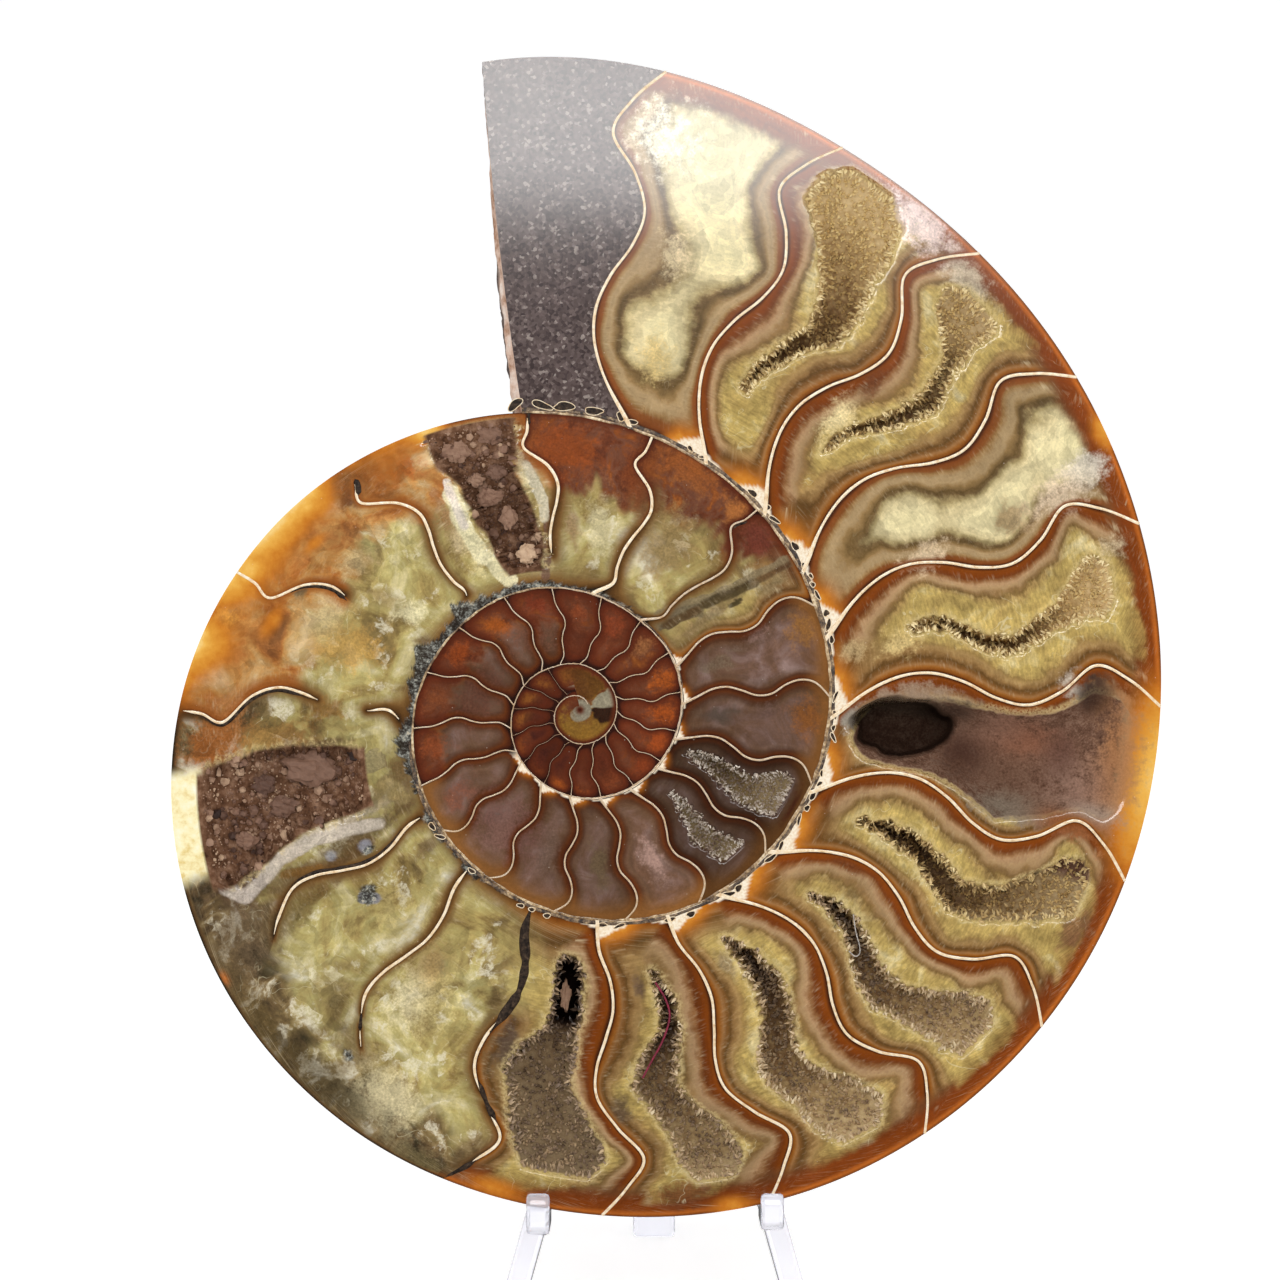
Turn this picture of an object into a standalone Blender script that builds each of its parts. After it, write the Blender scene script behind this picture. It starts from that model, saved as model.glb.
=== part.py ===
"""Sawn and polished ammonite fossil half, leaning on a clear one-piece easel stand.

The stone is a planispiral shell cut along its plane of symmetry. In its own frame the cut face is the
plane y = 0 (x to the right, z up, y into the stone) and the coil's centre is the origin. A turn angle is
counted clockwise from straight up, from the broken aperture inwards along the coil.
"""

import math

import bmesh
import bpy
import numpy as np
from mathutils import Matrix, Vector

MM = 0.001

# Driving dimensions of the stone, in millimetres and degrees.
WHORL_RADII = (  # outer wall of the coil every 30 degrees, one row a turn, from the aperture inwards
    (72.8, 68.7, 66.5, 64.8, 62.9, 60.0, 56.2, 53.1, 49.3, 44.8, 40.0, 35.8),
    (32.8, 30.6, 29.0, 27.9, 26.6, 25.2, 23.2, 21.3, 19.9, 18.5, 16.6, 15.0),
    (13.3, 12.1, 11.8, 11.3, 10.7, 10.3, 9.8, 9.1, 8.4, 7.5, 6.6, 5.6),
    (5.1, 4.6, 4.3, 4.1, 4.0, 3.9, 3.8, 3.5, 3.2, 2.7, 2.2, 1.8),
)
RADIUS_BEFORE_APERTURE = 73.8
RADIUS_STEP = 30.0
APERTURE_ANGLE = -11.0  # of the broken end, where it meets the turn below it
APERTURE_SLANT = 2.4  # how much further round the broken end is at the outer edge
FLANK_BREADTH = 0.235  # greatest half thickness over the whorl's radius
UMBILICAL_SEAM = 0.30  # where the flank of a whorl ends, over its radius
UMBILICAL_SHOULDER = 0.36
FLANK_CURVE = 2.4
FLANK_ROUNDING = 0.62

COLUMNS = 72  # grid columns in a full turn
SLANT_COLUMNS = 6  # over which the slant of the broken end dies out
TURNS = 2  # of grid before the fan at the coil's centre
ROW_SHARES = (0.0, 0.15, 0.3, 0.42, 0.54, 0.66, 0.78, 0.9, 0.97, 1.0)  # from inner to outer wall

# Hollows in the cut face, as stations along each one from the inner wall outwards:
# (turn angle, share of the way from inner to outer wall, half width, depth).
HOLLOWS = {
    "druse_2": (
        (27.3, 0.24, 0.7, 3.0), (27.9, 0.32, 1.0, 5.0), (30.1, 0.42, 1.3, 5.0), (33.0, 0.52, 2.1, 5.0),
        (32.7, 0.62, 3.0, 5.0), (30.8, 0.72, 3.9, 5.5), (29.1, 0.82, 6.0, 5.0), (29.2, 0.90, 5.4, 3.5),
        (28.8, 0.96, 2.8, 1.5),
    ),
    "druse_3": (
        (43.2, 0.25, 0.3, 2.5), (44.1, 0.36, 0.7, 4.5), (47.3, 0.48, 1.1, 4.5), (48.8, 0.60, 1.4, 4.5),
        (46.7, 0.72, 1.2, 3.5), (44.5, 0.80, 3.4, 2.8), (44.3, 0.86, 3.8, 2.4), (44.8, 0.90, 2.8, 1.2),
    ),
    "druse_5": (
        (76.0, 0.25, 0.5, 3.0), (76.6, 0.36, 0.9, 5.0), (80.7, 0.48, 1.1, 5.0), (81.6, 0.56, 1.2, 5.0),
        (79.0, 0.70, 1.5, 3.6), (77.0, 0.78, 3.0, 2.8), (76.4, 0.84, 3.6, 2.4), (76.5, 0.88, 2.2, 1.2),
    ),
    "open_6": (
        (95.8, 0.08, 1.6, 2.5), (94.6, 0.14, 2.9, 7.0), (94.3, 0.24, 3.5, 10.0), (94.3, 0.34, 3.9, 9.5),
        (95.8, 0.44, 4.5, 6.5), (97.6, 0.56, 5.8, 4.6), (97.0, 0.68, 5.9, 3.6), (94.9, 0.80, 7.2, 3.0),
        (95.3, 0.88, 6.8, 1.8), (96.0, 0.93, 5.0, 0.7),
    ),
    "druse_7": (
        (111.5, 0.17, 0.4, 3.0), (111.4, 0.28, 1.1, 5.5), (112.3, 0.38, 1.4, 5.5), (116.5, 0.55, 2.0, 4.6),
        (115.6, 0.64, 2.2, 4.2), (113.4, 0.72, 2.8, 3.6), (111.0, 0.80, 4.0, 3.0), (110.0, 0.86, 3.6, 2.4),
        (110.3, 0.90, 2.4, 1.2),
    ),
    "druse_8": (
        (128.8, 0.18, 0.4, 3.0), (127.9, 0.26, 0.9, 5.5), (128.6, 0.34, 1.2, 5.5), (132.6, 0.50, 2.0, 4.6),
        (133.0, 0.58, 2.1, 4.4), (131.5, 0.66, 2.3, 4.0), (130.0, 0.74, 3.3, 3.4), (129.2, 0.82, 3.7, 3.0),
        (129.5, 0.88, 2.8, 1.8),
    ),
    "druse_9": (
        (147.7, 0.13, 0.4, 3.0), (146.0, 0.22, 1.2, 5.5), (145.4, 0.32, 1.6, 5.5), (146.8, 0.42, 1.9, 5.0),
        (150.5, 0.56, 2.5, 4.6), (149.8, 0.64, 2.8, 4.2), (147.6, 0.72, 3.7, 3.4), (146.2, 0.82, 4.2, 2.8),
        (146.5, 0.90, 2.6, 1.4),
    ),
    "druse_10": (
        (164.6, 0.17, 0.4, 3.0), (163.4, 0.28, 1.0, 5.5), (164.4, 0.38, 1.3, 5.5), (167.6, 0.48, 2.3, 4.6),
        (168.8, 0.56, 2.6, 4.2), (166.8, 0.64, 2.7, 4.0), (164.6, 0.72, 3.3, 3.4), (163.6, 0.82, 3.7, 2.8),
        (164.0, 0.89, 2.2, 1.4),
    ),
    "druse_11": (
        (183.0, 0.145, 0.8, 3.5), (182.5, 0.24, 1.8, 8.0), (182.8, 0.34, 2.0, 8.0), (185.0, 0.44, 3.1, 4.2),
        (186.8, 0.56, 3.8, 3.2), (184.6, 0.68, 4.6, 2.6), (182.6, 0.80, 5.4, 2.2), (182.8, 0.88, 4.0, 1.2),
    ),
    "rubble_14": (
        (251.0, 0.18, 4.0, 1.2), (252.2, 0.30, 4.4, 2.6), (253.6, 0.50, 5.1, 3.0), (252.6, 0.66, 6.2, 3.0),
        (251.7, 0.80, 7.0, 2.4), (252.0, 0.87, 6.4, 1.0),
    ),
    "rubble_17": (
        (338.6, 0.12, 2.0, 1.2), (338.6, 0.28, 3.1, 2.8), (338.2, 0.48, 3.6, 3.2), (337.6, 0.64, 3.5, 2.4),
        (336.6, 0.76, 2.6, 1.0),
    ),
    "druse_24": (
        (471.5, 0.12, 0.6, 0.9), (472.0, 0.28, 1.0, 1.8), (474.4, 0.46, 1.6, 2.2), (475.6, 0.60, 2.0, 2.2),
        (473.2, 0.76, 2.6, 2.0), (473.2, 0.88, 2.5, 1.2),
    ),
    "druse_25": (
        (492.0, 0.20, 0.4, 0.8), (493.4, 0.38, 0.8, 1.6), (495.8, 0.56, 1.3, 1.9), (493.6, 0.74, 1.5, 1.7),
        (492.6, 0.84, 1.7, 0.9),
    ),
}
HOLLOW_SIDES = 8  # facets across the rounded floor of a hollow
CUTTER_STAND_OUT = 1.0  # of a cutter in front of the cut face

# How the stone stands: the cut face leans back, and the coil's centre is above the base.
LEAN = 12.0
COIL_CENTRE = (-9.6, -15.755, 74.0)

# Driving dimensions of the stand, in millimetres and degrees. Offsets are from the coil's centre.
LEDGE_X = (-4.7, 21.4)
LEDGE_TOPS = (-55.95, -55.4)
LIP_TOP = -53.9
FRAME_BASE = -56.5  # height at which the frame's sizes are measured
LEDGE_WIDTH = 2.6
LEDGE_THICK = 2.6
LIP_THICK = 2.4
LIP_GAP = 0.3  # between the stone's face and each upturned tip
FRAME_OFFSET = 9.8  # from the cut face back to the frame, at its base height
FRAME_SLOPE = 8.5  # of the frame to the cut face
SPLAY = 15.5  # of the frame's legs to the upright
LEG_WIDTH = 2.6
FRAME_DEPTH = 4.6
FRAME_TOP = 46.0  # of the frame above its base height
BRACE_LOW = 14.0
BRACE_WIDTH = 3.2
WINDOW_TIP = 1.2  # half the width of the frame's window at its top
LEDGE_ROOT = 2.8  # how far a ledge runs into the frame
REAR_WIDTH = 5.0
REAR_REACH = 46.0  # of the rear foot behind the coil's centre
REAR_FOOT = 5.28  # length of the rear foot
REAR_CROWN = 2.2  # of the rear leg above its joint with the frame
REAR_CROWN_DEPTH = 3.6  # of the crown behind the joint
REAR_ROOT = 4.0  # of the rear leg below the joint, inside the frame
EDGE_ROUND = 0.45
CORNER_STEPS = 4
BASE_CUT = 200.0  # size of the block that trims the feet flat


def wall_radius(turn):
    """Radius of the coil's wall at a turn angle: a smooth curve through the logs of WHORL_RADII."""
    radii = [RADIUS_BEFORE_APERTURE, *(radius for row in WHORL_RADII for radius in row)]
    logs = np.log(radii)
    place = turn / RADIUS_STEP + 1.0
    index = min(max(math.floor(place), 1), len(logs) - 3)
    part = min(place - index, 1.0)
    before, here, after, later = logs[index - 1 : index + 3]
    bend = 2 * before - 5 * here + 4 * after - later + part * (3 * (here - after) + later - before)
    return math.exp(here + 0.5 * part * (after - before + part * bend))


def coil_radius(turn, share):
    """Radius of the point that is a share of the way from the inner to the outer wall of a turn."""
    inner = wall_radius(turn + 360.0)
    return inner + share * (wall_radius(turn) - inner)


def flank(share):
    """Half thickness over the whorl's radius: a superellipse from the umbilical shoulder to the edge."""
    run = min(max((share - UMBILICAL_SHOULDER) / (1.0 - UMBILICAL_SHOULDER), 0.0), 1.0)
    return FLANK_BREADTH * (1.0 - run**FLANK_CURVE) ** FLANK_ROUNDING


def thickness(turn, radius, whorls=TURNS):
    """Thickness of the stone where turn is the outermost whorl's. Each flank rises from the one below."""
    outer = wall_radius(turn)
    share = radius / outer
    if share >= UMBILICAL_SHOULDER or whorls == 0:
        return outer * flank(share)
    below = thickness(turn + 360.0, min(radius, UMBILICAL_SEAM * outer), whorls - 1)
    rise = max(0.0, (share - UMBILICAL_SEAM) / (UMBILICAL_SHOULDER - UMBILICAL_SEAM))
    return below + (outer * FLANK_BREADTH - below) * rise * rise * (3.0 - 2.0 * rise)


def in_face(angle, radius, depth):
    """A point at an angle clockwise from up, at a radius, and at a depth behind the cut face."""
    turned = math.radians(angle)
    return Vector((radius * math.sin(turned), depth, radius * math.cos(turned))) * MM


def material(name, colour, roughness, transmission=0.0, ior=1.5):
    """A Principled material."""
    made = bpy.data.materials.new(name)
    made.use_nodes = True
    shader = made.node_tree.nodes["Principled BSDF"]
    shader.inputs["Base Color"].default_value = (*colour, 1.0)
    shader.inputs["Roughness"].default_value = roughness
    shader.inputs["Transmission Weight"].default_value = transmission
    shader.inputs["IOR"].default_value = ior
    made.diffuse_color = (*colour, 1.0)
    return made


def add_object(name, bm, collection, surface=None):
    """Turns bm into an object of a collection."""
    mesh = bpy.data.meshes.new(name)
    bm.to_mesh(mesh)
    bm.free()
    if surface:
        mesh.materials.append(surface)
    made = bpy.data.objects.new(name, mesh)
    collection.objects.link(made)
    return made


def stone_mesh():
    """One closed body: a spiral grid over the domed back, the flat cut face and the broken end.

    A column's first row is the last row of the column one turn further in, so the grid winds inwards
    with no seam. The broken end stands on the turn below it, which gives that column a low side.
    """
    bm = bmesh.new()
    last = len(ROW_SHARES) - 1

    def vertex(column, row, low_side=False):
        angle = APERTURE_ANGLE + column * 360.0 / COLUMNS
        if column < SLANT_COLUMNS:
            angle += APERTURE_SLANT * ROW_SHARES[row] * (1.0 - column / SLANT_COLUMNS)
        radius = coil_radius(angle, ROW_SHARES[row])
        outermost = APERTURE_ANGLE + 360.0 if low_side else angle - 360.0 * (column // COLUMNS)
        return bm.verts.new(in_face(angle, radius, thickness(outermost, radius)))

    high = {}
    for column in range(TURNS * COLUMNS + 1):
        for row in range(1, last + 1):
            high[column, row] = vertex(column, row)
    for column in range(TURNS * COLUMNS + 1, (TURNS + 1) * COLUMNS + 1):
        high[column, last] = vertex(column, last)
    for column in range(TURNS * COLUMNS + 1):
        high[column, 0] = high[column + COLUMNS, last]

    # The low side of the broken end starts outside the umbilical seam.
    seam = UMBILICAL_SEAM * wall_radius(APERTURE_ANGLE)
    radii = [coil_radius(APERTURE_ANGLE + 360.0, share) for share in ROW_SHARES]
    low = {
        row: vertex(COLUMNS, row, low_side=True) if radii[row] > seam else high[COLUMNS, row]
        for row in range(last + 1)
    }
    for column in range(TURNS * COLUMNS):
        for row in range(last):
            step = low if column == COLUMNS - 1 else {r: high[column + 1, r] for r in (row, row + 1)}
            bm.faces.new((high[column, row], high[column, row + 1], step[row + 1], step[row]))

    # The centre: a fan, whose first triangle takes in the end of the grid.
    pole = bm.verts.new(in_face(0.0, 0.0, thickness(APERTURE_ANGLE + 360.0, 0.0)))
    start = TURNS * COLUMNS
    spoke = [pole, *(high[start, row] for row in range(last + 1))]
    for inner, outer in zip(spoke, spoke[1:]):
        bm.faces.new((inner, outer, high[start + 1, last]))
    for column in range(start + 1, start + COLUMNS):
        bm.faces.new((pole, high[column, last], high[column + 1, last]))

    # The broken end, from the umbilical seam out to the edge, and the cut face.
    front = [
        bm.verts.new((high[0, row].co.x, 0.0, high[0, row].co.z)) for row in range(1, last)
    ]
    first = max(row for row in range(last + 1) if radii[row] <= seam)
    upper = [high[COLUMNS, row] for row in range(first, last + 1)] + [high[0, row] for row in range(1, last + 1)]
    lower = [low[row] for row in range(first, last + 1)] + front + [high[0, last]]
    for index in range(len(upper) - 1):
        corners = (upper[index], upper[index + 1], lower[index + 1], lower[index])
        bm.faces.new(tuple(dict.fromkeys(corners)))
    bm.faces.new([high[column, last] for column in range(COLUMNS)] + [low[last]] + front)
    bmesh.ops.recalc_face_normals(bm, faces=bm.faces)
    return bm


def hollow_mesh(stations):
    """A trench that follows its stations, with a rounded floor: each section runs along the coil."""
    bm = bmesh.new()
    rings = []
    for turn, share, half_width, depth in stations:
        radius = coil_radius(turn, share)
        ring = [(-half_width, -CUTTER_STAND_OUT)]
        for side in range(HOLLOW_SIDES + 1):
            swing = math.pi * side / HOLLOW_SIDES
            ring.append((-half_width * math.cos(swing), depth * math.sqrt(math.sin(swing) + 1e-9)))
        ring.append((half_width, -CUTTER_STAND_OUT))
        rings.append(
            [bm.verts.new(in_face(turn + math.degrees(across / radius), radius, deep)) for across, deep in ring]
        )
    for near, far in zip(rings, rings[1:]):
        for index in range(len(near)):
            following = (index + 1) % len(near)
            bm.faces.new((near[index], near[following], far[following], far[index]))
    bm.faces.new(rings[0])
    bm.faces.new(rings[-1])
    bmesh.ops.recalc_face_normals(bm, faces=bm.faces)
    return bm


def in_world():
    """Turns the stone's own frame into the object's: leaning back, above the base."""
    return Matrix.Translation(Vector(COIL_CENTRE) * MM) @ Matrix.Rotation(math.radians(-LEAN), 4, "X")


def cut_hollows(fossil, collection):
    """Sinks each hollow into the cut face with a Boolean cutter of its own."""
    for name, stations in HOLLOWS.items():
        cutter = add_object("cut_" + name, hollow_mesh(stations), collection)
        cutter.matrix_world = fossil.matrix_world
        cutter.hide_render = True
        cutter.display_type = "WIRE"
        cut = fossil.modifiers.new(name, "BOOLEAN")
        cut.operation = "DIFFERENCE"
        cut.solver = "EXACT"
        cut.object = cutter


def rounded_outline(corners):
    """A closed outline from (x, y, corner radius) entries, each corner replaced by an arc."""
    points = []
    for index, (x, y, radius) in enumerate(corners):
        here = Vector((x, y))
        before = (Vector(corners[index - 1][:2]) - here).normalized()
        after = (Vector(corners[(index + 1) % len(corners)][:2]) - here).normalized()
        half = before.angle(after) / 2.0
        if radius <= 0.0 or half > 1.5:
            points.append(here)
            continue
        centre = here + (before + after).normalized() * radius / math.sin(half)
        first = here + before * radius / math.tan(half) - centre
        last = here + after * radius / math.tan(half) - centre
        swing = first.angle_signed(last)
        for step in range(CORNER_STEPS + 1):
            turned = Matrix.Rotation(-swing * step / CORNER_STEPS, 2)
            points.append(centre + turned @ first)
    return points


def plate(name, outlines, thick, placed, surface, collection):
    """A flat plate from closed outlines in mm, with rounded edges, put in place by a matrix in mm."""
    curve = bpy.data.curves.new(name, "CURVE")
    curve.dimensions = "2D"
    curve.fill_mode = "BOTH"
    curve.extrude = (thick / 2.0 - EDGE_ROUND) * MM
    curve.bevel_depth = EDGE_ROUND * MM
    curve.bevel_resolution = 1
    curve.offset = -EDGE_ROUND * MM
    for outline in outlines:
        spline = curve.splines.new("POLY")
        spline.points.add(len(outline) - 1)
        for point, (x, y) in zip(spline.points, outline):
            point.co = (x * MM, y * MM, 0.0, 1.0)
        spline.use_cyclic_u = True
    flat = bpy.data.objects.new(name, curve)
    collection.objects.link(flat)
    mesh = bpy.data.meshes.new_from_object(flat.evaluated_get(bpy.context.evaluated_depsgraph_get()))
    bpy.data.objects.remove(flat)
    bm = bmesh.new()
    bm.from_mesh(mesh)
    bmesh.ops.remove_doubles(bm, verts=bm.verts, dist=0.00001)
    bmesh.ops.recalc_face_normals(bm, faces=bm.faces)
    made = add_object(name, bm, collection, surface)
    made.matrix_world = placed
    return made


def upright_plane(x, y=0.0, z=0.0):
    """Matrix that stands a plate's outline in the plane across X: outline x runs back, outline y up."""
    turned = Matrix(((0, 0, 1, 0), (1, 0, 0, 0), (0, 1, 0, 0), (0, 0, 0, 1)))
    return Matrix.Translation(Vector((x, y, z)) * MM) @ turned


def frame_plane(lean):
    """Matrix of the stand's leaning frame: outline x to the right, outline y up along the frame."""
    coil = Vector(COIL_CENTRE)
    base = in_world() @ (Vector((0.0, FRAME_OFFSET + FRAME_DEPTH / 2.0, FRAME_BASE)) * MM)
    middle = coil.x + sum(LEDGE_X) / 2.0
    upright = Matrix(((1, 0, 0, 0), (0, 0, -1, 0), (0, 1, 0, 0), (0, 0, 0, 1)))
    return (
        Matrix.Translation((middle * MM, base.y, base.z))
        @ Matrix.Rotation(math.radians(-lean), 4, "X")
        @ upright
    )


def build_stand(surface, collection, parts):
    """The clear easel: a leaning frame of two splayed legs, two ledges with tips, and a rear leg."""
    lean = LEAN + FRAME_SLOPE
    plane = frame_plane(lean)
    foot = -plane.translation.z / MM / math.cos(math.radians(lean)) - FRAME_DEPTH
    slant = math.tan(math.radians(SPLAY))
    at_ledge = (LEDGE_X[1] - LEDGE_X[0]) / 2.0
    half = LEG_WIDTH / 2.0 / math.cos(math.radians(SPLAY))
    top = FRAME_TOP

    def outer(y):
        return at_ledge - y * slant + half

    def inner(y):
        return at_ledge - y * slant - half

    outline = rounded_outline(
        [
            (outer(foot), foot, 0), (outer(top), top, 1.3), (-outer(top), top, 1.3), (-outer(foot), foot, 0),
            (-inner(foot), foot, 0), (-inner(BRACE_LOW), BRACE_LOW, 1.5),
            (inner(BRACE_LOW), BRACE_LOW, 1.5), (inner(foot), foot, 0),
        ]
    )
    low = BRACE_LOW + BRACE_WIDTH
    high = (at_ledge - half - WINDOW_TIP) / slant
    window = rounded_outline(
        [(-inner(low), low, 1.2), (-inner(high), high, 0.6), (inner(high), high, 0.6), (inner(low), low, 1.2)]
    )
    stand = plate("display_stand", (outline, window), FRAME_DEPTH, plane, surface, collection)

    def join(other):
        union = stand.modifiers.new(other.name, "BOOLEAN")
        union.operation = "UNION"
        union.solver = "EXACT"
        union.object = other
        other.hide_render = True
        other.display_type = "WIRE"

    back = FRAME_OFFSET + LEDGE_ROOT
    front = -LIP_GAP - LIP_THICK
    for side, x, level in zip(("left", "right"), LEDGE_X, LEDGE_TOPS):
        ledge = rounded_outline(
            [
                (back, level, 0), (-LIP_GAP, level, 0.4), (-LIP_GAP, LIP_TOP, 1.1), (front, LIP_TOP, 1.1),
                (front, level - LEDGE_THICK, 1.6), (back, level - LEDGE_THICK, 0),
            ]
        )
        join(plate("ledge_" + side, (ledge,), LEDGE_WIDTH, in_world() @ upright_plane(x), surface, parts))

    # The rear leg springs from the top of the frame and runs down to its own foot.
    peak = plane @ (Vector((0.0, top - BRACE_WIDTH, 0.0)) * MM) / MM
    heel = REAR_REACH + COIL_CENTRE[1]
    crown = peak.z + REAR_CROWN
    rear = rounded_outline(
        [
            (peak.y - 1.0, crown, 1.0), (peak.y + REAR_CROWN_DEPTH, crown, 1.8), (heel, 0.0, 0.0),
            (heel - REAR_FOOT, 0.0, 0.0), (peak.y - 1.0, peak.z - REAR_ROOT, 0.0),
        ]
    )
    join(plate("rear_leg", (rear,), REAR_WIDTH, upright_plane(peak.x), surface, parts))

    # Everything under the base plane is cut off, which leaves flat feet.
    bm = bmesh.new()
    below = Matrix.Translation((0.0, 0.0, -BASE_CUT * MM / 2.0))
    bmesh.ops.create_cube(bm, size=BASE_CUT * MM, matrix=below)
    floor = add_object("base_cut", bm, parts)
    level = stand.modifiers.new("flat_feet", "BOOLEAN")
    level.operation = "DIFFERENCE"
    level.solver = "EXACT"
    level.object = floor
    floor.hide_render = True
    floor.display_type = "WIRE"
    return stand


def main():
    for existing in list(bpy.data.objects):
        bpy.data.objects.remove(existing)
    display = bpy.data.collections.new("ammonite_fossil_half")
    cutters = bpy.data.collections.new("cutters")
    for collection in (display, cutters):
        bpy.context.scene.collection.children.link(collection)
    agate = material("polished_fossil", (0.24, 0.16, 0.07), 0.18)
    clear = material("clear_plastic", (0.92, 0.93, 0.96), 0.05, transmission=1.0, ior=1.49)
    fossil = add_object("fossil_half", stone_mesh(), display, agate)
    fossil.matrix_world = in_world()
    cut_hollows(fossil, cutters)
    build_stand(clear, display, cutters)


if __name__ == "__main__":
    main()
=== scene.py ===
"""Looks of a sawn and polished ammonite half that leans on a clear easel stand.

In the stone's own frame the cut face is the plane y = 0, with x to the right, z up and y into the stone,
and the coil's centre is the origin. A place on the face is a turn angle, counted in degrees clockwise
from straight up and inwards along the coil, and a share of the way from the inner to the outer wall.
"""

import math
from types import SimpleNamespace

import bpy
import numpy as np
from bpy.props import FloatProperty, PointerProperty
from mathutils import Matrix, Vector


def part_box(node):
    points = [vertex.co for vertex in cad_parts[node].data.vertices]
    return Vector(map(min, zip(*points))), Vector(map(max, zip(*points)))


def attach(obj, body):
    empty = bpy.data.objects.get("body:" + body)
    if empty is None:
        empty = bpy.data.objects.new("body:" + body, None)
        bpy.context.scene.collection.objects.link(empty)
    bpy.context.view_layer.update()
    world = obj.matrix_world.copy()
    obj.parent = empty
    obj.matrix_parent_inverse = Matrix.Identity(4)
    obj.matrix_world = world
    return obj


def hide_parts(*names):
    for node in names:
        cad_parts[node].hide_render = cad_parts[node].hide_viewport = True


bl_info = {
    "name": "Polished ammonite half",
    "version": (1, 0, 0),
    "blender": (4, 5, 0),
    "location": "3D View > Sidebar > Ammonite",
    "description": "Builds the cut face, shell, crystals and stage of a polished ammonite half on its stand",
    "category": "Object",
}

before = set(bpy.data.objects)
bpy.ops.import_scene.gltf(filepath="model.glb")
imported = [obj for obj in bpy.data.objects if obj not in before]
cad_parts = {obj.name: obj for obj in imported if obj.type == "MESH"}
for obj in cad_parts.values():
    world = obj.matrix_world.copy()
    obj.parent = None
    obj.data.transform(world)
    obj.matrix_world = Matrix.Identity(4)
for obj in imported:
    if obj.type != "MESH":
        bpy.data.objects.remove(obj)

MM = 0.001

# The coil, in millimetres and degrees.
WHORL_RADII = (  # outer wall of the coil every 30 degrees, one row a turn, from the aperture inwards
    (72.8, 68.7, 66.5, 64.8, 62.9, 60.0, 56.2, 53.1, 49.3, 44.8, 40.0, 35.8),
    (32.8, 30.6, 29.0, 27.9, 26.6, 25.2, 23.2, 21.3, 19.9, 18.5, 16.6, 15.0),
    (13.3, 12.1, 11.8, 11.3, 10.7, 10.3, 9.8, 9.1, 8.4, 7.5, 6.6, 5.6),
    (5.1, 4.6, 4.3, 4.1, 4.0, 3.9, 3.8, 3.5, 3.2, 2.7, 2.2, 1.8),
)
RADIUS_BEFORE_APERTURE = 73.8
RADIUS_STEP = 30.0
LOG_RADII = np.log([RADIUS_BEFORE_APERTURE, *(radius for row in WHORL_RADII for radius in row)])
APERTURE_ANGLE = -11.0
APERTURE_SLANT = 2.4
SLANT_TURN = 30.0  # over which the slant of the broken end dies out
CORE_TURN = 1069.0  # inside this turn the whorl closes on the coil's centre
LEAST_RADIUS = 8.0  # least radius at which a hollow's width is reckoned
FLANK_BREADTH = 0.235
UMBILICAL_SEAM = 0.30
UMBILICAL_SHOULDER = 0.36
FLANK_CURVE = 2.4
FLANK_ROUNDING = 0.62
RIBS_A_TURN = 64
GROWTH_LINES_A_TURN = 460
RIB_DEPTH = 0.3
LEAN = math.radians(12.0)
# Stretches of the coil, as the turn angles where they begin, are full, start to fade and end.
GOLDEN_ARC = (262.0, 280.0, 322.0, 336.0)  # light shines through the rim
BLOCK_ARC = (245.0, 247.5, 260.0, 262.0)  # the pale block beside the earthy hollow
OPEN_ARC = (84.0, 86.0, 108.0, 110.0)  # the chamber of the open hollow
DARKER_RIM = (314.5, 0.9, 4.5, 0.3)  # a place in the golden stretch, as in GLOW_SPOTS

# How far along the coil each kind of septum swings, in degrees, at every tenth from inner to outer wall.
SWINGS = {
    "edge": (0, 0.24, 0.48, 0.72, 0.96, 1.2, 1.44, 1.68, 1.92, 2.16, 2.4),
    "outer": (6.8, 1.6, -0.9, -1.1, 0.6, 3.1, 4.1, 2.6, 0, 1.6, 4.4),
    "lower": (3.4, 3.6, 1.8, 1.8, 3.6, 5.4, 5.6, 3, 0, 2.4, 5.6),
    "far": (-6, 2, 2.2, 2.8, 4.4, 6.2, 6.9, 5, 0.4, 1.8, 2.4),
    "seam": (0, -0.5, -1, -2, -1, -0.5, 0, 0.5, 1, 1.5, 2),
    "second": (4.5, 1.5, -1, -1.2, 0.8, 3, 3, 0.8, 0, 1.2, 5),
    "inner": (-11, -4, -2.2, -1.5, 0.5, 3, 3.2, 1.2, 0, 0, 0),
}
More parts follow.
